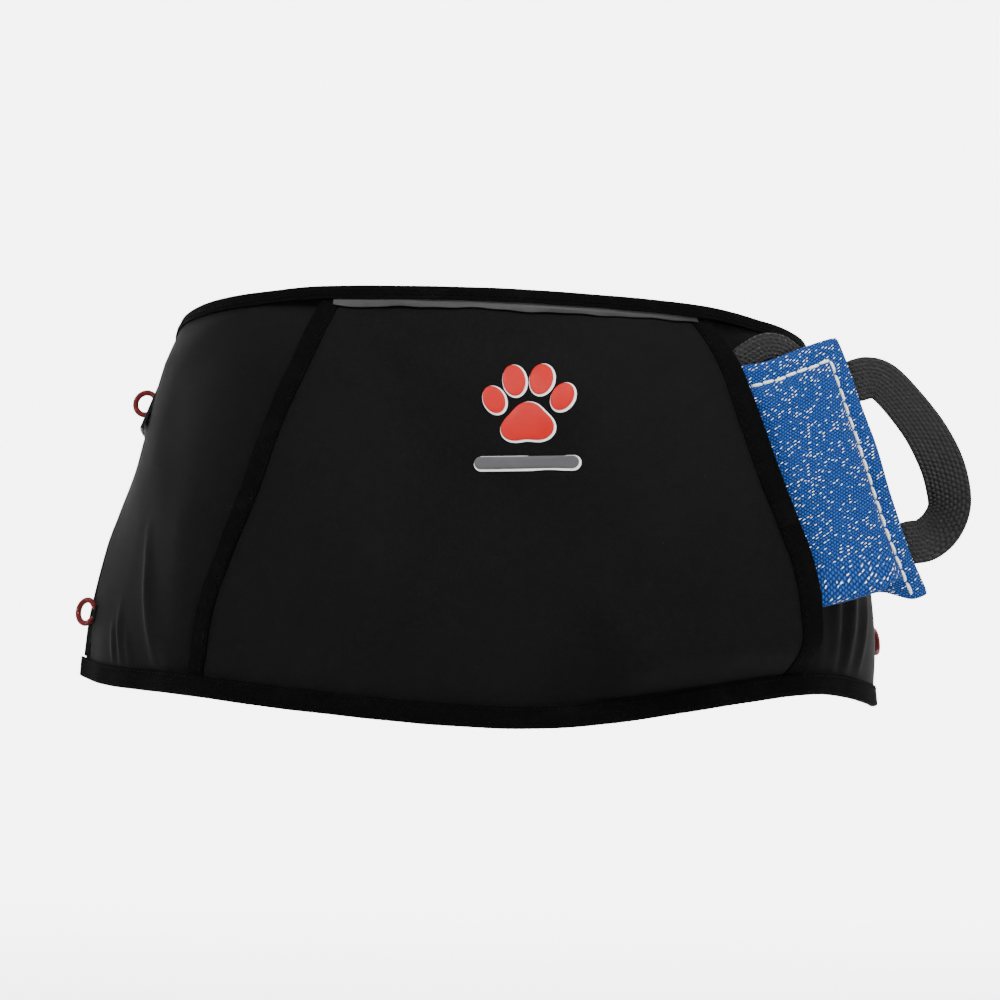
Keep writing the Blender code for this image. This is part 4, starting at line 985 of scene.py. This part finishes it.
def cord_loop(name, rows, lifts):
    """A loop of cord, from the rows and lifts of its side panel's rear edge, with its bar tack."""
    side, level, turned = LOOPS[name]
    heights = skin(side * (rear_edge(rows) - SIDE_EDGE_INSET), rows)[:, 2]
    row = float(np.interp(-level, -heights, rows))
    lift = float(np.interp(row, rows, lifts)) + CLOTH / 2
    edge = side * (float(rear_edge(row)) - SIDE_EDGE_INSET + LOOP_GAP)
    foot = wrap(edge, row, lift)
    back = unit(wrap(edge + side * MM, row, lift) - foot)
    out = skin_normal(edge, row)
    out = unit(out - back * (back @ out))
    reach = out * math.sin(math.radians(turned)) + back * math.cos(math.radians(turned))
    upward = np.cross(back, out) * side
    upward = upward * np.sign(upward[2])
    start = foot + back * CORD_RADIUS + reach * LOOP_FOOT
    sunk = foot - back * 0.8 * MM - out * 0.7 * MM
    route = [sunk + upward * -2.4 * MM, foot + back * 0.6 * MM + upward * -2.8 * MM]
    for angle in np.radians(np.linspace(-LOOP_SPAN, LOOP_SPAN, 13)):
        ahead = LOOP_RADIUS * (math.cos(angle) - math.cos(math.radians(LOOP_SPAN)))
        route.append(start + reach * ahead + upward * 1.1 * LOOP_RADIUS * math.sin(angle))
    route += [foot + back * 0.6 * MM + upward * 2.8 * MM, sunk + upward * 2.4 * MM]
    path = smooth_path(route, 90)
    across = np.cross(reach, upward)
    inward = np.cross(unit(np.gradient(path, axis=0)), across)
    gone = lengths(path)
    turns = np.linspace(0, 2 * math.pi, 16, endpoint=False)
    swell = 1 + 0.035 * np.sin(gone[:, None] * 5200 + 3 * turns)
    pinch = np.clip(np.minimum(gone, gone[-1] - gone) / (3 * MM), 0.4, 1)[:, None]
    rings = path[:, None] + CORD_RADIUS * (swell * pinch)[..., None] * (
        across * np.cos(turns)[None, :, None] + inward[:, None] * np.sin(turns)[None, :, None])
    skin_grid = closed(rings)
    uv = grid_of(lengths(skin_grid.mean(1)), lengths(skin_grid[len(skin_grid) // 2]))
    made = piece("elastic_loop_" + name, [(skin_grid, uv)], CORD_LOOK, "loop_" + name,
                 "red_elastic_cord", caps=(rings[0], rings[-1]), sharp=80)
    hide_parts("cord_loop_" + name)
    places, rise = [], out * (CLOTH / 2 + 0.25 * MM)
    for k in np.linspace(-4.2, 4.2, 15):
        middle = foot - back * 3.1 * MM + upward * k * MM + rise
        places.append((middle - back * 1.3 * MM, middle + back * 1.3 * MM))
    stitches("bar_tack_" + name, places, [out] * len(places), 2.6 * MM, 0.28 * MM)


# ---------------------------------------------------------------- belt, buckle and adjuster

def belt_route(side, level):
    """Points and across directions of a belt half, from its sewn end to its straight run."""
    rows = np.linspace(0, 1, 101)
    v = float(np.interp(0.0, -skin(side * rear_edge(rows), rows)[:, 2], rows))
    edge = float(rear_edge(v))
    places = np.linspace(edge - BELT_SEWN, edge + 3 * MM, 6)
    route = [wrap(side * s, v, BELT_LIFT + BELT_THICK / 2) for s in places]
    lean = unit(skin(side * edge, v - 0.05) - skin(side * edge, v + 0.05))
    across = [lean] * len(route)
    start, corner = route[-1], np.array([side * BACK_STRAIGHT, level, 0.0])
    pull_a = start + np.array([0.0, 0.058, 0.0])
    pull_b = corner + np.array([side * 0.045, 0.0, 0.0])
    for t in np.linspace(0, 1, 17)[1:]:
        route.append(start * (1 - t) ** 3 + 3 * pull_a * t * (1 - t) ** 2
                     + 3 * pull_b * t * t * (1 - t) + corner * t ** 3)
        across.append(lean * (1 - ease(t * 1.3)) + UP * ease(t * 1.3))
    return route, across


def fold_back(side, bar_x, level):
    """The end of a strap that turns back round a bar."""
    turn = [np.array([side * bar_x, level, 0.0])]
    for angle in np.radians(np.linspace(90, -90, 9))[1:]:
        turn.append(np.array([side * (bar_x - FOLD_GAP / 2 * math.cos(angle)),
                              level + FOLD_GAP / 2 * (math.sin(angle) - 1), 0.0]))
    return turn + [np.array([side * (bar_x + FOLD_SEWN), level - FOLD_GAP, 0.0])]


def belt_strap(name, route, across, node, body):
    """A belt strap with cross-sections close enough together to carry its ribs."""
    joined = np.hstack([np.array(route), np.array(across)])
    path = smooth_path(joined, int(lengths(joined[:, :3])[-1] / (0.6 * MM)))
    made = strap(name, path[:, :3], path[:, 3:], BELT_WIDTH, BELT_THICK, BELT_LOOK, body,
                 1.9 * MM, 0.05 * MM)
    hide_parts(node)


def box_stitch(name, middle, along, up, normal, length, body):
    """A sewn box with a cross in it, on one face of a strap."""
    tall = BELT_WIDTH - 2 * BOX_INSET
    corner = middle - up * tall / 2
    a, b, c, d = (corner + along * x + up * z for x, z in ((0, 0), (length, 0), (length, tall), (0, tall)))
    places = []
    for start, end in ((a, b), (b, c), (c, d), (d, a), (a, c), (b, d)):
        count = max(2, int(np.linalg.norm(end - start) / (3.0 * MM)))
        for k in range(count):
            places.append([start + (end - start) * (k + part) / count for part in (0.12, 0.88)])
    stitches(name, places, [normal] * len(places), 2.3 * MM, 0.3 * MM, body=body, slot="black_webbing")


def fold_box(name, side, bar_x, level, body):
    """The sewn box that holds a strap folded back round a bar."""
    middle = np.array([side * (bar_x + 3.5 * MM), level - FOLD_GAP - BELT_THICK / 2, 0.0])
    box_stitch(name, middle, np.array([side * 1.0, 0, 0]), UP, np.array([0, -1.0, 0]), 8 * MM, body)


def belts():
    for side, bar_x, level in ((-1, -SOCKET_LEFT - BAR_INSET, BACK_Y + TAIL_OFFSET),
                               (1, ADJUSTER_RIGHT - BAR_INSET, BACK_Y)):
        name = SIDE_NAMES[side]
        route, across = belt_route(side, level)
        run = [np.array([side * x, level, 0.0]) for x in np.linspace(BACK_STRAIGHT, bar_x, 11)[1:-1]]
        run += fold_back(side, bar_x, level)
        belt_strap("belt_" + name, route + run, across + [UP] * len(run), name + "_belt", "root")
        fold_box(name + "_fold_box", side, bar_x, level, "root")
        along, lean = unit(route[4] - route[0]), across[0]
        out = np.cross(along, lean) * -side
        box_stitch(name + "_belt_box", route[0] + along * 3 * MM + out * BELT_THICK / 2, along, lean, out,
                   18 * MM, "root")


def adjustable_strap():
    bar = SOCKET_RIGHT + PLUG_GAP + PLUG_LENGTH - BAR_INSET
    level = BACK_Y + TAIL_OFFSET
    route = fold_back(1, bar, level)[::-1]
    route += [np.array([x, level, 0.0]) for x in (0.05, ADJUSTER_LEFT, ADJUSTER_RIGHT, STRAP_TAIL)]
    belt_strap("adjustable_strap", route, [UP] * len(route), "strap_end", "buckle_strap")
    fold_box("strap_fold_box", 1, bar, level, "buckle_strap")


def keeper():
    """Elastic ring round both straps, with its ribs and softened edges."""
    wall, slack, turn = 1.2 * MM, 0.5 * MM, 1.4 * MM
    low, high = BACK_Y - BELT_THICK / 2 - slack, BACK_Y + TAIL_OFFSET + BELT_THICK / 2 + slack
    half, middle, deep = BELT_WIDTH / 2 + slack, (low + high) / 2, (high - low) / 2
    ring = []
    for cy, cz, start in ((1, 1, 0), (-1, 1, 90), (-1, -1, 180), (1, -1, 270)):
        for angle in np.radians(np.linspace(start, start + 90, 7)):
            out = np.array([0, math.cos(angle), math.sin(angle)])
            ring.append((np.array([0, middle + cy * (deep - turn), cz * (half - turn)]) + turn * out, out))
    ring = np.array(ring + ring[:1])
    along = np.linspace(0, KEEPER_LENGTH, 13)
    edge = wall * np.sqrt(np.clip(1 - (np.abs(along / KEEPER_LENGTH - 0.5) * 2) ** 8, 0.02, 1))
    grow = edge + 0.07 * MM * np.cos(2 * math.pi * along / (0.9 * MM))
    inner = ring[:, None, 0] + (KEEPER_AT + along)[:, None] * np.array([1.0, 0, 0])
    outer = inner + ring[:, None, 1] * grow[:, None]
    uv = grid_of(lengths(ring[:, 0]), along)[..., ::-1]
    made = slab("elastic_keeper", outer, inner, uv, ELASTIC_LOOK, "keeper", "black_elastic", sharp=60)
    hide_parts("strap_keeper")


def plastic_parts():
    for node in ("buckle_socket", "buckle_plug", "strap_adjuster"):
        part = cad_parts[node]
        part.data.materials.clear()
        part.data.materials.append(PLASTIC_LOOK)
        bevel = part.modifiers.new("soft_edges", "BEVEL")
        bevel.width, bevel.segments, bevel.limit_method = 0.25 * MM, 2, "ANGLE"
        bevel.angle_limit = math.radians(40)


# ---------------------------------------------------------------- the padded tug

def pad_axes():
    """The pad's length, its height and the way its front faces, after its turn in the pocket."""
    level = np.array([math.cos(PAD_YAW), math.sin(PAD_YAW), 0])
    out = np.array([math.sin(PAD_YAW), -math.cos(PAD_YAW), 0])
    up = UP * math.cos(PAD_FLARE) - out * math.sin(PAD_FLARE)
    facing = out * math.cos(PAD_FLARE) + UP * math.sin(PAD_FLARE)
    return np.array([level * math.cos(PAD_TILT) + up * math.sin(PAD_TILT),
                     up * math.cos(PAD_TILT) - level * math.sin(PAD_TILT), facing])


PAD_AXES = pad_axes()


def slanted(points):
    """The sewn pad sits turned a little in its pocket, and its outer end leans."""
    u, w, z = np.moveaxis(np.asarray(points, float), -1, 0)
    u = u - (0.030 + 0.055 * ease((-w - 0.02) / 0.045)) * w * ease(u / 0.06)
    w = w + 0.12 * (np.maximum(u, 0.025) - 0.050) * ease(w / 0.06)
    cosine, sine = math.cos(PAD_SETTLED), math.sin(PAD_SETTLED)
    return np.stack([u * cosine - w * sine, w * cosine + u * sine, z], -1)


def from_pad(points):
    return PAD_CENTRE + slanted(points) @ PAD_AXES


def from_rim(u, w):
    """Distances from a place on the pad to its nearer end and to its nearer long edge."""
    return PAD_LENGTH / 2 - np.abs(u), PAD_HEIGHT / 2 - np.abs(w)


def cloth_half(u, w):
    """Half thickness of the CAD pad, which the sewn pad may not pass."""
    full_u, full_w = (np.sin(np.clip((distance - PAD_FLANGE) / PAD_SHOULDER, 0, 1) * math.pi / 2)
                      for distance in from_rim(u, w))
    return PAD_EDGE_HALF + (PAD_MIDDLE_HALF - PAD_EDGE_HALF) * full_u * full_w


def rounded_corner(u, w):
    """Draws the four corners in a little and lets the edges wander."""
    a, b = np.abs(u) / (PAD_LENGTH / 2), np.abs(w) / (PAD_HEIGHT / 2)
    pull = 0.9 * MM * a ** 16 * b ** 16
    wander_u = 0.55 * MM * a ** 6 * np.sin(62 * w + 1.0) + 0.25 * MM * a ** 6 * np.sin(171 * w)
    wander_w = 0.55 * MM * b ** 6 * np.sin(55 * u + 2.0) + 0.25 * MM * b ** 6 * np.sin(149 * u)
    return (u - np.sign(u) * (pull + 0.3 * MM * a ** 6) + wander_u,
            w - np.sign(w) * (pull + 0.3 * MM * b ** 6) + wander_w)


def puffed(u, w):
    """Both faces after the filling has pushed the cloth out between its seams."""
    rows, columns = u.shape
    total = rows * columns
    start = COVER_HALF + 0.35 * (cloth_half(u, w) - PAD_EDGE_HALF)
    points = np.concatenate([np.stack([u, w, sign * start], -1).reshape(-1, 3) for sign in (1, -1)])
    cells = quads(rows, columns)
    rim = [(i, 0) for i in range(rows)] + [(rows - 1, j) for j in range(1, columns)]
    rim += [(i, columns - 1) for i in range(rows - 2, -1, -1)] + [(0, j) for j in range(columns - 2, 0, -1)]
    faces = cells.tolist() + (cells[:, ::-1] + total).tolist()
    for (i, j), (k, m) in zip(rim, rim[1:] + rim[:1]):
        a, b = i * columns + j, k * columns + m
        faces.append([a, b, b + total, a + total])
    mesh = bpy.data.meshes.new("filling_test")
    mesh.from_pydata(points.tolist(), [], faces)
    mended(mesh)
    test = placed("filling_test", mesh)
    sewn = np.minimum(*from_rim(u, w)).ravel() < STITCH_INSET + 0.4 * MM
    pins = test.vertex_groups.new(name="sewn")
    pins.add(np.flatnonzero(np.tile(sewn, 2)).tolist(), 1.0, "REPLACE")
    cloth = test.modifiers.new("filling", "CLOTH")
    for key, value in {"vertex_group_mass": "sewn", "quality": 6, "mass": 0.25, "tension_stiffness": 12,
                       "compression_stiffness": 12, "shear_stiffness": 6, "bending_stiffness": 1.2,
                       "use_pressure": True, "uniform_pressure_force": 4}.items():
        setattr(cloth.settings, key, value)
    cloth.settings.effector_weights.gravity = 0
    cloth.point_cache.frame_start, cloth.point_cache.frame_end = 1, SETTLING_FRAMES
    for number in range(1, SETTLING_FRAMES + 1):
        bpy.context.scene.frame_set(number)
    settled = test.evaluated_get(bpy.context.evaluated_depsgraph_get()).to_mesh()
    moved = np.zeros(total * 6, np.float32)
    settled.vertices.foreach_get("co", moved)
    bpy.context.scene.frame_set(1)
    bpy.data.objects.remove(test)
    return moved.astype(float).reshape(2, rows, columns, 3)


def curled(u, w, flat_w, rise, sign):
    """The lower border turns in under the plump body, except at the pad's outer corner."""
    hem = w + PAD_HEIGHT / 2 - STITCH_INSET
    share = ease((PAD_LENGTH / 2 - 8 * MM - u) / (18 * MM))
    border = hem < 0
    tucked = np.where(border, flat_w - 0.74 * share * hem, flat_w)
    overhang = share * 6.5 * MM * np.exp(-((hem - 4.5 * MM) / (6.5 * MM)) ** 2) * ease(hem / (2.5 * MM))
    if sign > 0:
        tucked = tucked - np.where(border, 0, overhang)
    bent = np.where(border, rise - sign * share * 1.6 * MM * ease(-hem / (8 * MM)), rise)
    return tucked, bent


def sewn_face(u, w, grid, sign):
    """One face of the cover: its seam's groove and tucks, its creases and its flat border."""
    end, edge = from_rim(u, w)
    inside = np.minimum(end, edge) - STITCH_INSET
    past = np.maximum(inside, 0)
    rise = grid[..., 2] * sign
    rise = rise * min(1.0, (cloth_half(0, 0) - 0.4 * MM) / rise.max())
    rise = np.minimum(rise, COVER_HALF + 1.9 * past ** 0.5 * math.sqrt(MM) * 1.35)
    shoulder = COVER_HALF + 5.4 * MM * (1 - np.exp(-past / (2.6 * MM)))
    rise = np.where(inside > 0, np.maximum(rise, shoulder * ease(u / 0.02)), rise)
    run = np.where(end < edge, w, u)
    tuck = 0.75 * MM * np.cos(2 * math.pi * run / (6.8 * MM)) * (inside > 0)
    tuck = tuck * np.exp(-np.abs(inside - 3 * MM) / (3.5 * MM))
    crumple = 0.40 * MM * np.sin(83 * u + 51 * w + sign) * ease(inside / 0.02)
    crumple += 0.30 * MM * np.sin(160 * w - 64 * u + 2 * sign) * ease(inside / 0.012)
    groove = 0.75 * MM * np.exp(-(inside / (1.4 * MM)) ** 2)
    rise = np.maximum(rise + tuck + crumple - groove, 0.55 * MM)
    lip = np.clip(inside + STITCH_INSET, 0, None) / (1.2 * MM)
    rise = rise * np.sqrt(np.clip(lip, 0.02, 1))
    flat_u, flat_w = rounded_corner(grid[..., 0], grid[..., 1])
    flat_w, rise = curled(u, w, flat_w, rise, sign)
    sway = 0.9 * MM * np.sin(38 * u + 0.4) * ease(np.abs(w) / 0.06)
    sway = (sway + 1.1 * MM * np.sin(44 * w + 1.9) * ease(np.abs(u) / 0.07)) * ease(-inside / STITCH_INSET)
    return np.stack([flat_u, flat_w, sign * rise + 0.35 * sway], -1)


def pad_cover():
    us, ws = (np.linspace(-full / 2, full / 2, int(full / PAD_CELL) + 1)
              for full in (PAD_LENGTH, PAD_HEIGHT))
    uv = grid_of(us, ws)
    u, w = uv[..., 0], uv[..., 1]
    grids = puffed(u, w)
    faces = [sewn_face(u, w, grid, sign) for grid, sign in zip(grids, (1, -1))]
    made = slab("pad_cover", from_pad(faces[0]), from_pad(faces[1]), uv, TWILL_LOOK, "bite_pad",
                "blue_twill", sharp=75)
    smooth = made.modifiers.new("smooth_cloth", "SUBSURF")
    smooth.levels = smooth.render_levels = 1
    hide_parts("pad_cover_front", "pad_cover_back")
    return us, ws, faces


def pad_filling(us, ws, faces):
    """Felted core inside the cover, drawn in from the cloth on both sides."""
    end, edge = from_rim(us, ws)
    kept = [np.flatnonzero(distance > STITCH_INSET + 4.5 * MM) for distance in (end, edge)]
    sides = []
    for face, sign in zip(faces, (1, -1)):
        grid = face[np.ix_(*kept)]
        grid[..., 2] = sign * np.maximum(0.3 * MM, np.abs(grid[..., 2]) - COVER - 0.5 * MM)
        sides.append(from_pad(grid))
    made = slab("pad_filling", sides[0], sides[1], grid_of(us[kept[0]], ws[kept[1]]), FELT_LOOK,
                "bite_pad", "pad_filling")
    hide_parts("pad_core")


def pad_stitches(us, ws, faces):
    """Thick pale thread round the pad, dipping into the cloth at each stitch."""
    half_u, half_w = PAD_LENGTH / 2 - STITCH_INSET, PAD_HEIGHT / 2 - STITCH_INSET
    rim_w = PAD_HEIGHT / 2 - 2 * MM
    seams = [((-half_u, -half_w), (half_u - 9 * MM, -half_w)), ((half_u, -rim_w), (half_u, half_w)),
             ((half_u, half_w), (-half_u, half_w)), ((-half_u, half_w), (-half_u, -half_w))]
    for face, sign, name in ((faces[0], 1, "front"), (faces[1], -1, "back")):
        places = []
        for k, (a, b) in enumerate(np.array(seams)):
            span = b - a
            aside = unit(np.array([span[1], -span[0]]))
            count = int(round(np.linalg.norm(span) / (6.7 * MM)))
            for m in range(count):
                drift = aside * 0.25 * MM * math.sin(2.3 * m + k)
                ends = [a + span * (m + part) / count + drift for part in (0.03, 0.97)]
                places.append([from_pad(between(face, us, ws, *end)) for end in ends])
        stitches("pad_stitches_" + name, places, [PAD_AXES[2] * sign] * len(places), 6.4 * MM, 0.80 * MM,
                 look=WHITE_THREAD, body="bite_pad", slot=None, sunk=0.3)


def handle_strap(name, points, across, count, width, thick, body, relief):
    """Handle webbing through points in the pad's own axes, with the direction across it at each."""
    path = smooth_path(np.hstack([points, across]), count)
    return strap(name, from_pad(path[:, :3]), path[:, 3:] @ PAD_AXES, width, thick, HANDLE_LOOK, body,
                 2.5 * MM, relief)


def handle_stubs():
    """Ends of the handle's webbing, sewn in behind the pad's border and free at the fold."""
    start, fold = PAD_LENGTH / 2 - 9 * MM, PAD_LENGTH / 2 + 1.8 * MM
    for name, w, lean in (("upper", 0.0395, 1), ("lower", -0.037, -1)):
        points = [(start, w, -2.4 * MM), (start + 4 * MM, w, -2.4 * MM), (fold - 3 * MM, w, -1.2 * MM),
                  (fold - 0.8 * MM, w, 0), (fold + 0.4 * MM, w, 0)]
        handle_strap("handle_end_" + name, points, [(0, lean, 0)] * len(points), 26,
                     HANDLE_WIDTH - 0.3 * MM, HANDLE_THICK - 0.2 * MM, "bite_pad", 0.06 * MM)


def side_handle():
    reach = [(0.0, 0.0395, 0), (0.0075, 0.0388, 0), (0.0138, 0.0348, 0.001), (0.0194, 0.0242, 0.003),
             (0.0236, 0.0103, 0.006), (0.0254, -0.0039, 0.0075), (0.0250, -0.0159, 0.0075),
             (0.0226, -0.0262, 0.0065), (0.0160, -0.0338, 0.004), (0.0075, -0.0376, 0.0015),
             (0.0, -0.037, 0)]
    across = [(0, 1, 0), (0.05, 1, 0), (0.35, 1, 0.05), (0.85, 0.6, 0.2), (0.9, 0.35, 0.35),
              (0.8, 0.1, 0.55), (0.72, -0.15, 0.68), (0.5, -0.4, 0.75), (0.35, -0.75, 0.5),
              (0.1, -1, 0.1), (0, -1, 0)]
    points = np.array(reach) + np.array([PAD_LENGTH / 2 + 0.9 * MM, 0, 0])
    made = handle_strap("side_handle_webbing", points, across, 230, HANDLE_WIDTH, HANDLE_THICK,
                        "side_handle", 0.10 * MM)
    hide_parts("pad_side_handle")


def top_handle():
    route = [(0.054, -0.010), (0.049, -0.005), (0.042, 0.002), (0.033, 0.0050), (0.022, 0.0030),
             (0.010, -0.003), (-0.003, -0.006), (-0.018, -0.006), (-0.034, -0.006)]
    across = [(0.8, 0.7, 0), (0.7, 0.8, 0), (0.4, 0.9, 0), (0, 1, 0), (-0.3, 0.9, 0),
              (-0.25, 0.9, 0), (0, 1, 0), (0, 1, 0), (0, 1, 0)]
    top, points = PAD_HEIGHT / 2, []
    for u, rise in route:
        low = min(top + rise - TOP_HANDLE_WIDTH / 2, top)
        points.append((u, top + rise, -float(cloth_half(u, low)) - HANDLE_CLEAR))
    made = handle_strap("top_handle_webbing", points, across, 190, TOP_HANDLE_WIDTH, HANDLE_THICK,
                        "top_handle", 0.10 * MM)
    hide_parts("pad_top_handle")


# ---------------------------------------------------------------- stage, light and camera

CAMERA_AT = np.array([-0.0696, -0.8471, -0.031])
AIM = np.array([0.0, 0.0, -0.031])
HALF_VIEW = 0.3058
ROLL = math.radians(2.6)
FLOOR_LEVEL, SKY, KEY = -0.62, 0.50, 50


def camera():
    ahead = unit(AIM - CAMERA_AT)
    right = unit(np.cross(ahead, UP))
    up = np.cross(right, ahead)
    tilted_right = right * math.cos(ROLL) + up * math.sin(ROLL)
    tilted_up = up * math.cos(ROLL) - right * math.sin(ROLL)
    data = bpy.data.cameras.new("camera")
    data.sensor_width = 36.0
    data.lens = data.sensor_width / 2 / HALF_VIEW
    data.shift_x, data.shift_y = 0.012, -0.020
    made = placed("camera", data)
    turn = Matrix((tilted_right, tilted_up, -ahead)).transposed().to_4x4()
    made.matrix_world = Matrix.Translation(Vector(CAMERA_AT)) @ turn
    bpy.context.scene.camera = made


def lamp(name, at, aim, size, energy):
    data = bpy.data.lights.new(name, "AREA")
    data.shape, data.size, data.energy = "DISK", size, energy
    made = placed(name, data)
    made.location = at
    made.rotation_mode = "QUATERNION"
    made.rotation_quaternion = (Vector(aim) - Vector(at)).to_track_quat("-Z", "Y")


def stage():
    """A wide pale bowl: flat under the pouch, turned up far away, so no horizon shows."""
    profile = [(0.0, 0.0), (2.6, 0.0), (3.6, 0.12), (4.5, 0.55), (5.2, 1.3), (5.6, 2.4), (5.7, 3.6)]
    turns = np.linspace(0, 2 * math.pi, 73)
    points = [(radius * math.cos(a), radius * math.sin(a), FLOOR_LEVEL + rise)
              for radius, rise in profile for a in turns]
    mesh = bpy.data.meshes.new("floor")
    mesh.from_pydata(points, [], quads(len(profile), len(turns)).tolist())
    mended(mesh, 1e-5, outward=False)
    mesh.shade_smooth()
    # The bowl's material carries the painted glow behind the pouch.
    mesh.materials.append(glowing_pale_ground())
    placed("floor", mesh)
    world = bpy.data.worlds.new("studio")
    world.use_nodes = True
    background = world.node_tree.nodes["Background"].inputs
    background["Color"].default_value = (1, 1, 1, 1)
    background["Strength"].default_value = SKY
    bpy.context.scene.world = world
    lamp("key", (-1.2, -1.0, 1.3), (0, 0, -0.03), 0.5, KEY)
    lamp("fill", (1.5, -0.8, 0.05), (0.08, -0.05, -0.05), 0.8, KEY * 0.5)
    lamp("above", (0.10, -0.50, 0.58), (0, -0.1, 0.0), 0.35, KEY * 0.15)
    lamp("rear", (0.3, 1.4, 1.2), (0, 0.05, -0.03), 1.0, KEY * 0.15)


# ---------------------------------------------------------------- everything in place

camera()
stage()
apron_base()
centre_outer = centre_panel()
rear_rows = {side: side_panel(side) for side in (-1, 1)}
edge_tape("waist_tape", "waist_binding", True, WAIST_BAND - 1.6 * MM)
edge_tape("hem_tape", "hem_binding", False, HEM_BAND)
for side in (-1, 1):
    rear_tape(side)
    opening_tape(side, centre_outer)
piping(centre_outer)
emblem(centre_outer)
for loop_name, (loop_side, _, _) in LOOPS.items():
    cord_loop(loop_name, *rear_rows[loop_side])
belts()
adjustable_strap()
keeper()
plastic_parts()
pad_rows = pad_cover()
pad_filling(*pad_rows)
pad_stitches(*pad_rows)
handle_stubs()
side_handle()
top_handle()
